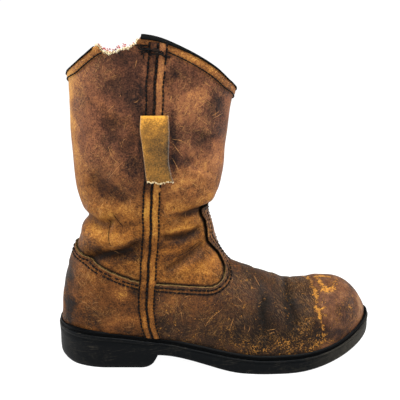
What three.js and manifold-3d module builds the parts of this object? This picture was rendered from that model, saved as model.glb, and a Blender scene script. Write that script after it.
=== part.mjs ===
// Worn pull-on work boot for the right foot, standing empty on its sole.
// Frame while building: heel at x = 0, toe towards +X, lateral side towards -Y, floor at z = 0.
// The finished group is moved so that its origin is under the middle of the boot.
import * as THREE from "three";
import Module from "manifold-3d";

const wasm = await Module();
wasm.setup();

// ---- driving dimensions, in millimetres ----
const heelEnd = 3.5;       // x of the sole's back edge
const toeEnd = 315;        // x of the sole's tip
const heelRound = 52;      // length of the rounded back of the sole
const toeRound = 80;       // length of the rounded toe of the sole
const toeSwing = 5;        // how far the tip lies towards the medial side
const weltLedge = 6.5;     // from the sole's edge in to the upper's foot
const weltInset = 1.5;     // from the sole's edge in to the welt's edge
const weltThick = 4;
const weltSeat = 11;       // from the sole's edge in to the welt's inner edge
const insoleThick = 7;
const wall = 2.2;          // leather of the upper
const overlay = 1.8;       // leather of the vamp and the counter
const gap = 0.3;           // clearance between pieces
const heelFlat = [24, 96]; // stretch of the heel that is flat on the floor
const ballFlat = [188, 226]; // stretch of the forepart that is flat on the floor
const heelWear = 6;        // how much is worn off the heel's back edge
const toeSpring = 24;      // how far the tip of the sole is lifted
const archRise = 13.6;     // how far the waist of the sole stands clear of the floor
const archTop = 104;       // x where the waist is highest
const breastLength = 14;   // run of the sloping front face of the heel
const bindingRise = 3;     // height of the rolled binding on the collar's edge
const bindingLap = 0.9;    // how far it stands out past each face of the upper
const strapThick = 3.6;
const strapLift = 0.8;     // from the upper out to the pull strap
const beltSegments = 24;   // segments around each ring of the upper
const upperRings = 25;     // rings from the instep to the collar

// ---- interpolation ----
const clamp = (v, low = 0, high = 1) => Math.min(high, Math.max(low, v));
const ease = (v) => clamp(v) ** 2 * (3 - 2 * clamp(v));

// A smooth curve through [x, value] points, flat beyond its ends.
function through(points) {
  const slope = points.map((p, i) => {
    const a = points[Math.max(i - 1, 0)];
    const b = points[Math.min(i + 1, points.length - 1)];
    return (b[1] - a[1]) / (b[0] - a[0]);
  });
  return (x) => {
    const at = clamp(x, points[0][0], points.at(-1)[0]);
    const i = clamp(points.findIndex((p) => p[0] >= at) - 1, 0, points.length - 2);
    const step = points[i + 1][0] - points[i][0];
    const t = (at - points[i][0]) / step;
    const rise = points[i + 1][1] - points[i][1];
    const bend = (slope[i] * (1 - t) - slope[i + 1] * t) * step - rise * (1 - 2 * t);
    return points[i][1] + rise * t + bend * t * (1 - t);
  };
}

// ---- the sole's plan and heights ----
const lateralWidth = through([
  [0, 38.5], [95, 38.5], [120, 39], [150, 42.5], [180, 48], [205, 50.5], [240, 50], [314, 49],
]);
const medialWidth = through([
  [0, 37], [60, 37], [95, 35.5], [120, 34.5], [150, 36.5], [180, 43], [205, 48.5], [235, 50], [314, 49],
]);
const centre = (x) => toeSwing * ease((x - 190) / 124);

// Distance from the centre line to an outline that lies inset within the sole's edge.
function halfWidth(x, side, inset) {
  const full = (side < 0 ? lateralWidth(x) : medialWidth(x)) - inset;
  const heel = clamp((heelEnd + heelRound - x) / (heelRound - inset));
  const toe = clamp((x - toeEnd + toeRound) / (toeRound - inset));
  return full * Math.sqrt(1 - heel ** 2) * (1 - toe ** 2) ** 0.52;
}

// Height of the feather line, where the upper meets the top of the welt.
const feather = through([
  [0, 39.5], [40, 38.5], [66, 36.5], [93, 33], [116, 30], [146, 24.8], [173, 21], [203, 18.9],
  [232, 19.2], [252, 20.8], [270, 24.2], [286, 29.4], [300, 36], [314, 44],
]);

// Height of the sole's underside.
function underside(x) {
  if (x < heelFlat[0]) return heelWear * (1 - x / heelFlat[0]) ** 1.5;
  if (x <= heelFlat[1]) return 0;
  if (x < ballFlat[0]) {
    const breast = ease((x - heelFlat[1]) / breastLength);
    return archRise * breast * (1 - ease((x - archTop) / (ballFlat[0] - archTop)));
  }
  if (x <= ballFlat[1]) return 0;
  return toeSpring * ((x - ballFlat[1]) / (toeEnd - ballFlat[1])) ** 1.85;
}

// ---- meshes and solids ----
// Joins rings of points, all of one length, into a closed skin capped at both ends.
function loft(rings) {
  const count = rings[0].length;
  const position = rings.flat(2);
  const index = [];
  for (let r = 0; r + 1 < rings.length; r++) {
    for (let i = 0; i < count; i++) {
      const a = r * count + i;
      const b = r * count + (i + 1) % count;
      index.push(a, b, b + count, a, b + count, a + count);
    }
  }
  for (const [r, turned] of [[0, true], [rings.length - 1, false]]) {
    const middle = [0, 1, 2].map((k) => rings[r].reduce((sum, p) => sum + p[k], 0) / count);
    const tip = position.length / 3;
    position.push(...middle);
    for (let i = 0; i < count; i++) {
      const a = r * count + i;
      const b = r * count + (i + 1) % count;
      index.push(...(turned ? [tip, b, a] : [tip, a, b]));
    }
  }
  const geometry = new THREE.BufferGeometry();
  geometry.setAttribute("position", new THREE.Float32BufferAttribute(position, 3));
  geometry.setIndex(signedVolume(position, index) > 0 ? index : index.reverse());
  return geometry;
}

function signedVolume(position, index) {
  const corners = index.map((i) => new THREE.Vector3(...position.slice(3 * i, 3 * i + 3)));
  let volume = 0;
  for (let i = 0; i < corners.length; i += 3) {
    volume += corners[i].dot(corners[i + 1].clone().cross(corners[i + 2])) / 6;
  }
  return volume;
}

// Turns a closed geometry into a solid that can be cut and joined.
function solid(geometry) {
  const vertProperties = new Float32Array(geometry.attributes.position.array);
  const triVerts = new Uint32Array(geometry.index.array);
  return new wasm.Manifold(new wasm.Mesh({ numProp: 3, vertProperties, triVerts }));
}

function geometryOf(made) {
  const { vertProperties, triVerts } = made.getMesh();
  const geometry = new THREE.BufferGeometry();
  geometry.setAttribute("position", new THREE.BufferAttribute(new Float32Array(vertProperties), 3));
  geometry.setIndex(Array.from(triVerts));
  return geometry;
}

// The space between two heights over a stretch of the frame, as a solid to cut with.
function between(low, high, xs, ys) {
  return solid(loft(xs.map((x) => [
    ...ys.map((y) => [x, y, low(x, y)]),
    ...ys.toReversed().map((y) => [x, y, high(x, y)]),
  ])));
}

// A side view outline of [x, z] points, pushed through the boot from y = from to y = to.
function sideCut(outline, from, to) {
  return solid(loft([from, to].map((y) => outline.map(([x, z]) => [x, y, z]))));
}

function steps(from, to, count) {
  return Array.from({ length: count + 1 }, (_, i) => from + (to - from) * i / count);
}

// Stations along the sole, closer together round the heel and the toe and at the heel's breast.
const middleStations = [74, 96, 98.5, 101, 103.5, 106.5, 110, 120, 132, 146, 160, 174, 188, 208, 226];
function stations(inset) {
  const round = (t, length) => (length - inset) * (1 - Math.cos(Math.PI * t));
  const heel = steps(0.08, 0.5, 7).map((t) => heelEnd + inset + round(t, heelRound));
  const toe = steps(0.5, 0.06, 10).map((t) => toeEnd - inset - round(t, toeRound));
  return [...heel, ...middleStations, ...toe.slice(1)];
}

// A plate with the sole's outline, between two heights.
function plate(inset, low, high) {
  return solid(loft(stations(inset).map((x) => {
    const left = centre(x) - halfWidth(x, -1, inset);
    const right = centre(x) + halfWidth(x, 1, inset);
    return [[x, left, low(x)], [x, right, low(x)], [x, right, high(x)], [x, left, high(x)]];
  })));
}

// ---- sole pieces ----
// Unit sole: heel, arch, flat ball and toe spring, with a rounded bottom edge.
function outsole() {
  const rings = stations(0).map((x) => {
    const low = underside(x);
    const high = feather(x) - weltThick - gap;
    const left = halfWidth(x, -1, 0);
    const right = halfWidth(x, 1, 0);
    const profile = [[0.94, 0], [0.985, 2.5], [1, 7]];
    return [
      ...profile.map(([share, rise]) => [x, centre(x) - left * share, low + rise]),
      [x, centre(x) - left, high],
      [x, centre(x) + right, high],
      ...profile.toReversed().map(([share, rise]) => [x, centre(x) + right * share, low + rise]),
    ];
  });
  return loft(rings);
}

const weltTop = (x) => feather(x);
const weltFoot = (x) => feather(x) - weltThick;

function welt() {
  const ring = plate(weltInset, weltFoot, weltTop);
  return geometryOf(ring.subtract(plate(weltSeat, (x) => weltFoot(x) - 5, (x) => weltTop(x) + 5)));
}

const insole = () => geometryOf(plate(weltSeat + gap, weltFoot, (x) => weltFoot(x) + insoleThick));

// ---- the upper's form ----
// Height of the ridge over the foot, from the toe back to the instep.
const crest = through([
  [172, 95.5], [184, 90.7], [194, 87.5], [204, 83.5], [214, 79], [224, 75.6], [234, 74.2],
  [246, 75], [258, 76.4], [270, 76.3], [280, 74], [288, 70.5], [295, 66], [301, 60],
  [305, 53.5], [307.5, 48], [308.5, 43],
]);
// How square the sections are over the foot: a low instep ridge, a full toe.
const footShape = through([[172, 2.05], [205, 2.05], [240, 2.25], [275, 2.45], [309.5, 2.5]]);

// Sections that fan round the ankle and rise up the shaft: the lower or back end, the upper or
// front end, the half widths to the lateral and medial side, and how square the section is.
const fan = [
  [[172, 13], [172, 95.5], 40, 35.4, 2.05],
  [[142, 17.5], [168, 101], 36.5, 32, 2.15],
  [[110, 23], [164, 107], 36, 33, 2.25],
  [[78, 27], [161, 113], 36, 34, 2.3],
  [[46, 30], [159, 120], 36, 34.5, 2.35],
  [[24, 31], [157.5, 126], 36, 34.5, 2.3],
  [[10, 34], [156.2, 132], 36, 34.5, 2.4],
  [[10, 52], [154.8, 137.5], 36, 34.5, 2.4],
  [[12, 69], [153.2, 142], 36, 35, 2.4],
  [[15.5, 87], [151.6, 147], 36.5, 35, 2.35],
  [[22, 107], [151.2, 152], 37, 35.5, 2.3],
  [[30, 125], [152.8, 157], 37.5, 36.5, 2.25],
  [[36.5, 138], [156, 162.5], 38, 37.5, 2.2],
  [[38.5, 146], [159, 168.5], 38.5, 38, 2.2],
  [[34, 157], [162.5, 176], 39.5, 39, 2.2],
  [[30, 172], [165.5, 187], 40.5, 40, 2.2],
  [[28, 190], [167.5, 199], 41.5, 40.5, 2.2],
  [[27, 210], [168.5, 215], 42.5, 41.5, 2.2],
  [[27, 230], [170.5, 232], 43.5, 42, 2.2],
  [[27.5, 250], [173, 250], 44, 42.5, 2.2],
  [[27, 272], [176.5, 268], 44.5, 43, 2.2],
  [[26, 295], [180.5, 290], 45, 43, 2.2],
  [[25, 330], [186, 330], 45.5, 43.5, 2.2],
];
const fanCurves = [
  (row) => row[0][0], (row) => row[0][1], (row) => row[1][0], (row) => row[1][1],
  (row) => row[2], (row) => row[3], (row) => row[4],
].map((pick) => through(fan.map((row, i) => [i, pick(row)])));

function footSection(x) {
  const width = [-1, 1].map((side) => halfWidth(x, side, weltLedge));
  return { low: [x, feather(x) - 8], high: [x, crest(x)], width, foot: width, shape: footShape(x) };
}

function fanSection(at) {
  const [bx, bz, fx, fz, lateral, medial, shape] = fanCurves.map((curve) => curve(at));
  const rests = at < 6;
  const foot = [-1, 1].map((side) => (rests ? halfWidth(bx, side, weltLedge) : 0));
  return { low: [bx, bz], high: [fx, fz], width: [lateral, medial], foot, shape };
}

// The closed ring of a section: half of a rounded oval on each side, cut off flat where the
// section stands on the sole, with its points evenly spaced round the edge.
function ring(section) {
  const { low, high, shape } = section;
  const length = Math.hypot(high[0] - low[0], high[1] - low[1]);
  const sides = [0, 1].map((k) => {
    const width = Math.max(section.width[k], section.foot[k]);
    const cut = (1 - (1 - (section.foot[k] / width) ** shape) ** (1 / shape)) / 2;
    const line = [[0, 0]];
    for (const t of steps(0, 1, 60)) {
      const along = cut + (1 - cut) * (1 - Math.cos(Math.PI * t)) / 2;
      const out = (1 - clamp(Math.abs(2 * along - 1)) ** shape) ** (1 / shape);
      line.push([(along - cut) / (1 - cut), width * out]);
    }
    const run = [0];
    for (let i = 1; i < line.length; i++) {
      const [t, y] = [0, 1].map((c) => line[i][c] - line[i - 1][c]);
      run.push(run[i - 1] + Math.hypot(t * length, y));
    }
    return steps(0, run.at(-1), beltSegments / 2).map((want) => {
      const i = clamp(run.findLastIndex((r) => r <= want), 0, run.length - 2);
      const t = clamp((want - run[i]) / (run[i + 1] - run[i] || 1));
      return [0, 1].map((c) => line[i][c] + (line[i + 1][c] - line[i][c]) * t);
    });
  });
  const place = ([t, y], side) => {
    const x = low[0] + (high[0] - low[0]) * t;
    return [x, centre(x) + side * y, low[1] + (high[1] - low[1]) * t];
  };
  return [
    ...sides[0].map((p) => place(p, -1)),
    ...sides[1].slice(1, -1).toReversed().map((p) => place(p, 1)),
  ];
}

const toeTip = toeEnd - weltLedge - 0.3;
const instep = fan[0][0][0];
const toeStations = steps(0, 1, 14).map((t) => toeTip - (toeTip - instep) * (0.3 * t + 0.7 * t * t));
const formRings = [
  ...toeStations.slice(0, -1).map((x) => ring(footSection(x))),
  ...steps(0, fan.length - 1, upperRings).map((at) => ring(fanSection(at))),
];

// The upper's form, grown or shrunk by an offset along its own normals.
function form(offset) {
  const geometry = loft(formRings);
  geometry.computeVertexNormals();
  const { position, normal } = geometry.attributes;
  for (let i = 0; i < position.array.length; i++) position.array[i] += normal.array[i] * offset;
  return solid(geometry);
}

const shapes = new Map();
const formAt = (offset) => shapes.get(offset) ?? shapes.set(offset, form(offset)).get(offset);

// ---- trimming lines ----
// The collar's scalloped edge on the lateral side; the medial side has sagged lower.
const scallop = through([
  [20, 281], [27, 282], [35, 288], [48, 298.5], [61, 308], [80, 314], [97, 315.5], [112, 313],
  [128, 306.5], [145, 297.5], [160, 287], [170, 276.5], [180, 266],
]);
const sag = (x, y) => ease((y + 20) / 50) * (12 + 12 * Math.sin(Math.PI * clamp((x - 27) / 150)));
// The bite torn out of the lateral edge, as a depth below the scallop.
const bite = through([
  [58.5, 0], [61, 3], [65, 9], [72, 12], [79, 11.5], [88, 10.5], [93, 8], [96, 3], [97, 0],
]);
const torn = (x, y) => (y < 0 ? bite(x) : 0);
const collar = (x, y) => scallop(x) - sag(x, y);
const rawEdge = (x, y) => collar(x, y) - Math.max(bindingRise + gap, torn(x, y));
const seam = through([
  [0, 104], [35, 99.2], [48, 96.6], [74, 94.5], [91, 96.3], [115, 98.3], [153, 101], [182, 102.6],
  [253, 106.3], [303, 110.5],
]);

const trimXs = [
  -10, 20, 27, 35, 42, 50, 58, 61, 65, 72, 79, 88, 93, 97, 104, 112, 120, 128, 136, 145, 153,
  161, 169, 177, 190,
];
const trimYs = [-80, -25, -1, 1, 15, 30, 80];
const soleXs = [
  -20, 0, 20, 40, 66, 93, 104, 116, 131, 146, 160, 173, 188, 203, 218, 232, 242, 252, 261, 270, 278, 286, 293,
  300, 305, 310, 314, 330,
];
const above = (edge, lift) => between((x, y) => edge(x, y) + lift, () => 500, trimXs, trimYs);
const belowFeather = between(() => -50, (x) => feather(x) + gap, soleXs, [-90, 90]);

// ---- upper pieces ----
function upper() {
  const shell = formAt(0).subtract(formAt(-wall));
  return geometryOf(shell.subtract(above(rawEdge, 0)).subtract(belowFeather));
}

// The vamp's top edge from the side seam forward, round the ankle and up to the front fold.
const vampEdge = [
  [125, 86], [150, 83.3], [158, 83.2], [164, 85.7], [167.5, 89.5], [168, 95], [165.5, 101],
  [161, 109.5], [156, 117.5], [152, 125], [150.5, 131], [150.5, 137], [149, 143], [146, 149],
  [145, 154], [147, 158],
];
// The counter's top edge from the back forward to the side seam.
const counterEdge = [
  [-10, 118.5], [22, 118], [30, 115.7], [37, 112.8], [52, 105.8], [63, 100.6], [75, 95.4], [86, 91.8],
];
const seamHeights = [0, 30, 42, 54, 66, 78, 89.5];

function skin(outline) {
  const sheet = formAt(gap + overlay).subtract(formAt(gap));
  return geometryOf(sheet.intersect(sideCut(outline, -90, 90)).subtract(belowFeather));
}

const vamp = () => skin([
  ...seamHeights.map((z) => [seam(z) + gap, z]), ...vampEdge, [230, 158], [340, 100], [340, 0],
]);

const counter = () => skin([
  ...seamHeights.toReversed().map((z) => [seam(z) - gap, z]), [-30, 0], ...counterEdge,
]);

// Rolled binding along the collar's edge, missing where the edge is torn.
function binding() {
  const roll = formAt(bindingLap).subtract(formAt(-wall - bindingLap));
  const band = roll.subtract(above(collar, 0)).intersect(above(rawEdge, gap));
  const missing = sideCut([[57.5, 270], [97, 270], [97, 330], [57.5, 330]], -90, 0);
  return geometryOf(band.subtract(missing));
}

// Pull strap: a doubled strip of suede hanging against the lateral side of the shaft.
function pullStrap() {
  const outline = [
    [96, 250], [120, 250], [119.6, 228], [119, 211], [122, 192], [101, 194.5], [98.5, 206], [96.8, 228],
  ];
  const sheet = formAt(strapLift + strapThick).subtract(formAt(strapLift));
  return geometryOf(sheet.intersect(sideCut(outline, -90, -10)));
}

// ---- the boot ----
const boot = new THREE.Group();

function piece(name, geometry, color, roughness) {
  const mesh = new THREE.Mesh(geometry, new THREE.MeshStandardMaterial({ color, roughness, metalness: 0 }));
  mesh.name = name;
  boot.add(mesh);
}

piece("outsole", outsole(), 0x1f1d1c, 0.7);
piece("welt", welt(), 0x151414, 0.45);
piece("insole", insole(), 0x8a6a48, 0.9);
piece("upper", upper(), 0x6d4526, 0.6);
piece("vamp", vamp(), 0x54382a, 0.65);
piece("counter", counter(), 0x5e3b24, 0.6);
piece("binding", binding(), 0x1b1a19, 0.5);
piece("pull_strap", pullStrap(), 0x8b6a35, 0.95);

const size = new THREE.Box3().setFromObject(boot);
boot.position.set(-(size.min.x + size.max.x) / 2, -(size.min.y + size.max.y) / 2, -size.min.z);
boot.updateMatrixWorld(true);

export default boot;
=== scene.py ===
# A worn pull-on work boot, the right one, standing empty on its sole.
import math
import bpy
import numpy as np
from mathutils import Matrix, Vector
from mathutils.bvhtree import BVHTree


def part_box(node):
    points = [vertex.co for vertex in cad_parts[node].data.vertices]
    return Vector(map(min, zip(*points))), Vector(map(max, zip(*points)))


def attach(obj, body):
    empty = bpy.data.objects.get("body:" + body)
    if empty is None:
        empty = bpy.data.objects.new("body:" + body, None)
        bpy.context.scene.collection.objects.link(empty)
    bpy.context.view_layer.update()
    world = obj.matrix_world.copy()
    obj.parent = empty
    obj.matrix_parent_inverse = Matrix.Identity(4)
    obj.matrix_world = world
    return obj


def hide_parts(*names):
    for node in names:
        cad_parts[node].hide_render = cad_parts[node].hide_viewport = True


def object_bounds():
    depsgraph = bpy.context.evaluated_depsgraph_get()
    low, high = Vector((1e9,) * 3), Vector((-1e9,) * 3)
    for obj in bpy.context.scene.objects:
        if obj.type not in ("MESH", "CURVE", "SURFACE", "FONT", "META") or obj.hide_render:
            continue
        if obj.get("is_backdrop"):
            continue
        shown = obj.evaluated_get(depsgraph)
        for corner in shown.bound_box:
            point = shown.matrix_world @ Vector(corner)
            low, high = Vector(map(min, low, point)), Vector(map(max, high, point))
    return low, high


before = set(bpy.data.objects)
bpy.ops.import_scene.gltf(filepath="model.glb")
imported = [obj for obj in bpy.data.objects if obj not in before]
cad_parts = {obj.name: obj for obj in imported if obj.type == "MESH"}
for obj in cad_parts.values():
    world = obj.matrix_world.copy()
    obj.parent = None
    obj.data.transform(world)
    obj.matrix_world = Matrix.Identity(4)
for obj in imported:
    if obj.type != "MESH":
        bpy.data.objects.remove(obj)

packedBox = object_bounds()
chance = np.random.default_rng(7)

# Lengths are millimetres in the boot's own frame: heel at x = 0, toe towards +x, outer side
# towards -y, floor at z = 0. placed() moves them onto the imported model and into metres.
plan = {
    "heelEnd": 3.5, "toeEnd": 315.0, "heelRound": 52.0, "toeRound": 80.0, "toeSwing": 5.0,
    "outerWidth": [(0, 38.5), (95, 38.5), (120, 39), (150, 42.5), (180, 48), (205, 50.5), (240, 50),
                   (314, 49)],
    "innerWidth": [(0, 37), (60, 37), (95, 35.5), (120, 34.5), (150, 36.5), (180, 43), (205, 48.5),
                   (235, 50), (314, 49)],
    "feather": [(0, 39.5), (40, 38.5), (66, 36.5), (93, 33), (116, 30), (146, 24.8), (173, 21), (203, 18.9),
                (232, 19.2), (252, 20.8), (270, 24.2), (286, 29.4), (300, 36), (314, 44)],
}


def clamp(v, low=0.0, high=1.0):
    return np.clip(v, low, high)


def ease(v):
    v = clamp(v)
    return v * v * (3 - 2 * v)


def through(points):
    # A smooth curve through (x, value) points, flat beyond its ends.
    px, py = np.array(points, float).T
    slope = np.empty_like(py)
    slope[1:-1] = (py[2:] - py[:-2]) / (px[2:] - px[:-2])
    slope[0], slope[-1] = (py[1] - py[0]) / (px[1] - px[0]), (py[-1] - py[-2]) / (px[-1] - px[-2])

    def curve(x):
        at = np.clip(x, px[0], px[-1])
        i = np.clip(np.searchsorted(px, at) - 1, 0, len(px) - 2)
        step, rise = px[i + 1] - px[i], py[i + 1] - py[i]
        t = (at - px[i]) / step
        bend = (slope[i] * (1 - t) - slope[i + 1] * t) * step - rise * (1 - 2 * t)
        return py[i] + rise * t + bend * t * (1 - t)
    return curve


outerWidth, innerWidth, feather = (through(plan[key]) for key in ("outerWidth", "innerWidth", "feather"))


def centre(x):
    return plan["toeSwing"] * ease((x - 190) / 124)


def halfWidth(x, side, inset):
    full = np.where(side < 0, outerWidth(x), innerWidth(x)) - inset
    heel = clamp((plan["heelEnd"] + plan["heelRound"] - x) / (plan["heelRound"] - inset))
    toe = clamp((x - plan["toeEnd"] + plan["toeRound"]) / (plan["toeRound"] - inset))
    return full * np.sqrt(1 - heel ** 2) * (1 - toe ** 2) ** 0.52


soleLow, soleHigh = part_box("outsole")
alongSole = np.linspace(10, 310, 601)
firstStation = plan["heelEnd"] + plan["heelRound"] * (1 - math.cos(math.pi * 0.08))
shift = np.array([
    soleLow.x * 1000 - firstStation,
    soleLow.y * 1000 - float(np.min(centre(alongSole) - halfWidth(alongSole, -1, 0))),
    0.0,
])


def placed(points):
    return (np.asarray(points, float) + shift) / 1000


def piece(name, points, faces, materials, replaces=None, slot=None, notes=None, bands=None):
    # faces is one array or a list of arrays; bands gives each face its material's number
    groups = [np.asarray(f, np.int32) for f in (faces if isinstance(faces, list) else [faces]) if len(f)]
    mesh = bpy.data.meshes.new(name)
    mesh.vertices.add(len(points))
    mesh.vertices.foreach_set("co", placed(points).astype(np.float32).ravel())
    corners = np.concatenate([g.ravel() for g in groups])
    sizes = np.concatenate([np.full(len(g), g.shape[1], np.int32) for g in groups])
    mesh.loops.add(len(corners))
    mesh.loops.foreach_set("vertex_index", corners)
    mesh.polygons.add(len(sizes))
    mesh.polygons.foreach_set("loop_start", np.concatenate([[0], np.cumsum(sizes)[:-1]]).astype(np.int32))
    mesh.polygons.foreach_set("loop_total", sizes)
    if bands is not None:
        mesh.polygons.foreach_set("material_index", np.asarray(bands, np.int32))
    mesh.update(calc_edges=True)
    mesh.validate()
    mesh.polygons.foreach_set("use_smooth", np.full(len(mesh.polygons), True))
    for key, values in (notes or {}).items():
        layer = mesh.attributes.new(key, "FLOAT", "POINT")
        layer.data.foreach_set("value", np.asarray(values, np.float32))
    for material in materials:
        mesh.materials.append(material)
    made = bpy.data.objects.new(name, mesh)
    bpy.context.scene.collection.objects.link(made)
    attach(made, "root")
    if replaces:
        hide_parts(replaces)


def bridge(rows, columns, wrapRows=False, wrapColumns=False):
    # Quads over a grid of rows x columns points numbered row by row.
    r = np.arange(rows if wrapRows else rows - 1)
    c = np.arange(columns if wrapColumns else columns - 1)
    r, c = (a.ravel() for a in np.meshgrid(r, c, indexing="ij"))
    r2, c2 = (r + 1) % rows, (c + 1) % columns
    return np.stack([r * columns + c, r * columns + c2, r2 * columns + c2, r2 * columns + c], 1)


def alongLine(line, count=None, spacing=None):
    # Evenly spaced points on a polyline.
    line = np.asarray(line, float)
    run = np.concatenate([[0], np.cumsum(np.linalg.norm(np.diff(line, axis=0), axis=1))])
    want = np.linspace(0, run[-1], count or max(2, int(round(run[-1] / spacing)) + 1))
    return np.stack([np.interp(want, run, line[:, k]) for k in range(line.shape[1])], 1)


def softLine(line, spacing=1.5):
    # The same line with its corners rounded.
    line = np.asarray(line, float)
    t = np.arange(len(line))
    fine = np.linspace(0, len(line) - 1, len(line) * 12)
    curves = [through(list(zip(t, line[:, k])))(fine) for k in range(line.shape[1])]
    return alongLine(np.stack(curves, 1), spacing=spacing)


def toLine(points, line):
    # Distance from each point to a polyline, and how far along the line the nearest place is.
    best, share = np.full(len(points), 1e9), np.zeros(len(points))
    total = len(line) - 1
    for i in range(total):
        a, d = line[i], line[i + 1] - line[i]
        t = clamp(((points - a) @ d) / max(d @ d, 1e-9))
        away = np.linalg.norm(points - a - t[:, None] * d, axis=1)
        near = away < best
        best[near], share[near] = away[near], (i + t[near]) / total
    return best, share


def insideOf(points, outline):
    inside = np.zeros(len(points), bool)
    for a, b in zip(outline, np.roll(outline, -1, 0)):
        if a[1] != b[1]:
            crosses = ((a[1] > points[:, 1]) != (b[1] > points[:, 1]))
            inside ^= crosses & (points[:, 0] < (b[0] - a[0]) * (points[:, 1] - a[1]) / (b[1] - a[1]) + a[0])
    return inside


# The upper's form: sections across the foot, then a fan of sections that turns up into the shaft.
form = {
    "wall": 2.2, "weltLedge": 6.5, "seat": 1.5, "columns": 96, "tip": 308.4, "instep": 172.0,
    "footRings": 84, "soleRings": 90, "legRings": 150,
    "legFrom": 6,                                # the leg starts at this section of the fan
    "crest": [(172, 95.5), (184, 90.7), (194, 87.5), (204, 83.5), (214, 78.6), (224, 74.4), (234, 72),
              (246, 71.4), (258, 72.1), (270, 73.2), (280, 73), (288, 70.5), (295, 66), (301, 60),
              (305, 53.5), (307.5, 48), (308.5, 43)],
    "footSquare": [(172, 2.05), (205, 2.05), (240, 2.25), (275, 2.45), (309.5, 2.5)],
    # back or lower end x z, front or upper end x z, outer and inner half width, squareness
    "fan": [
        (172, 13, 172, 95.5, 40, 35.4, 2.05), (142, 17.5, 168, 101, 36.5, 32, 2.15),
        (110, 23, 164, 107, 36, 33, 2.25), (78, 27, 161, 113, 36, 34, 2.3),
        (46, 30, 159, 120, 36, 34.5, 2.35), (24, 31, 157.5, 126, 36, 34.5, 2.3),
        (10, 34, 156.2, 132, 36, 34.5, 2.4), (10, 52, 154.8, 137.5, 36, 34.5, 2.4),
        (12, 69, 153.2, 142, 36, 35, 2.4), (15.5, 87, 151.6, 147, 36.5, 35, 2.35),
        (22, 107, 151.2, 152, 37, 35.5, 2.3), (30, 125, 152.8, 157, 37.5, 36.5, 2.25),
        (36.5, 138, 156, 162.5, 38, 37.5, 2.2), (38.5, 146, 159, 168.5, 38.5, 38, 2.2),
        (34, 157, 162.5, 176, 39.5, 39, 2.2), (30, 172, 165.5, 187, 40.5, 40, 2.2),
        (28, 190, 167.5, 199, 41.5, 40.5, 2.2), (27, 210, 168.5, 215, 42.5, 41.5, 2.2),
        (27, 230, 170.5, 232, 43.5, 42, 2.2), (27.5, 250, 173, 250, 44, 42.5, 2.2),
        (27.8, 272, 176.5, 268, 44.5, 43, 2.2), (27.8, 295, 180.5, 290, 45, 43, 2.2),
        (27.5, 330, 186, 330, 45.5, 43.5, 2.2),
    ],
    "collar": [(20, 281), (27, 282), (35, 288), (48, 298.5), (61, 308), (80, 314), (97, 315.5), (112, 313),
               (128, 306.5), (145, 297.5), (160, 287), (170, 276.5), (180, 266)],
    "bite": [(58.5, 0), (61, 3), (65, 9), (72, 12), (79, 11.5), (88, 10.5), (93, 8), (96, 3), (97, 0)],
    "seam": [(0, 104), (35, 99.2), (48, 96.6), (74, 94.5), (91, 96.3), (115, 98.3), (153, 101),
             (182, 102.6), (253, 106.3), (303, 110.5)],
}
crest, footSquare, scallop, bite, seam = (
    through(form[key]) for key in ("crest", "footSquare", "collar", "bite", "seam"))
fanCurves = [through(list(enumerate(column))) for column in zip(*form["fan"])]


def collar(x, y):
    sag = ease((y + 20) / 50) * (12 + 12 * np.sin(np.pi * clamp((x - 27) / 150)))
    return scallop(x) - sag


def halfRing(low, high, wide, foot, square, side):
    # One side of a section, from the sole or the back up to the crest or the front.
    t = (1 - np.cos(np.pi * np.linspace(0, 1, 241))) / 2
    wide = 0.8 * np.logaddexp(wide / 0.8, foot * 1.03 / 0.8)
    cut = (1 - (1 - (foot / wide) ** square) ** (1 / square)) / 2
    along = cut + (1 - cut) * t
    out = wide * np.maximum(1 - np.abs(2 * along - 1) ** square, 0) ** (1 / square)
    share = (along - cut) / (1 - cut)
    x, z = (low[k] + (high[k] - low[k]) * share for k in (0, 1))
    line = np.stack([x, centre(x) + side * out, z], 1)
    over = z - feather(x) + form["seat"]
    first = int(np.argmax(over >= 0))
    if first > 0:
        t = over[first - 1] / (over[first - 1] - over[first])
        line = np.vstack([line[first - 1] + t * (line[first] - line[first - 1]), line[first:]])
    return alongLine(line, form["columns"] + 1)


def buildGrid():
    rings = []
    for t in np.linspace(0, 1, form["footRings"])[:-1]:
        x = form["tip"] - (form["tip"] - form["instep"]) * (0.3 * t + 0.7 * t * t)
        ends = (x, feather(x) - 8), (x, crest(x))
        half = [float(halfWidth(x, side, form["weltLedge"])) for side in (-1, 1)]
        rings.append([halfRing(*ends, half[k], half[k], footSquare(x), (-1, 1)[k]) for k in (0, 1)])
    leg, last = form["legFrom"], len(form["fan"]) - 1
    turning, rising = np.linspace(0, leg, form["soleRings"])[:-1], np.linspace(leg, last, form["legRings"])
    for at in np.concatenate([turning, rising]):
        bx, bz, fx, fz, outer, inner, square = (float(curve(at)) for curve in fanCurves)
        foot = [float(halfWidth(bx, side, form["weltLedge"])) if at < leg else 0.0 for side in (-1, 1)]
        rings.append([halfRing((bx, bz), (fx, fz), wide, foot[k], square, (-1, 1)[k])
                      for k, wide in enumerate((outer, inner))])
    return np.array([np.vstack([outer, inner[-2::-1]]) for outer, inner in rings])


def raggedBite(x, y):
    # The depth torn out of the outer side's collar, with a frayed line.
    fray = 0.5 * np.sin(1.9 * x + 1) + 0.45 * np.sin(3.1 * x) + 0.35 * np.sin(5.3 * x + 2)
    depth = bite(x)
    return np.where(y < 0, depth + fray * clamp(depth / 4), 0.0)


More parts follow.
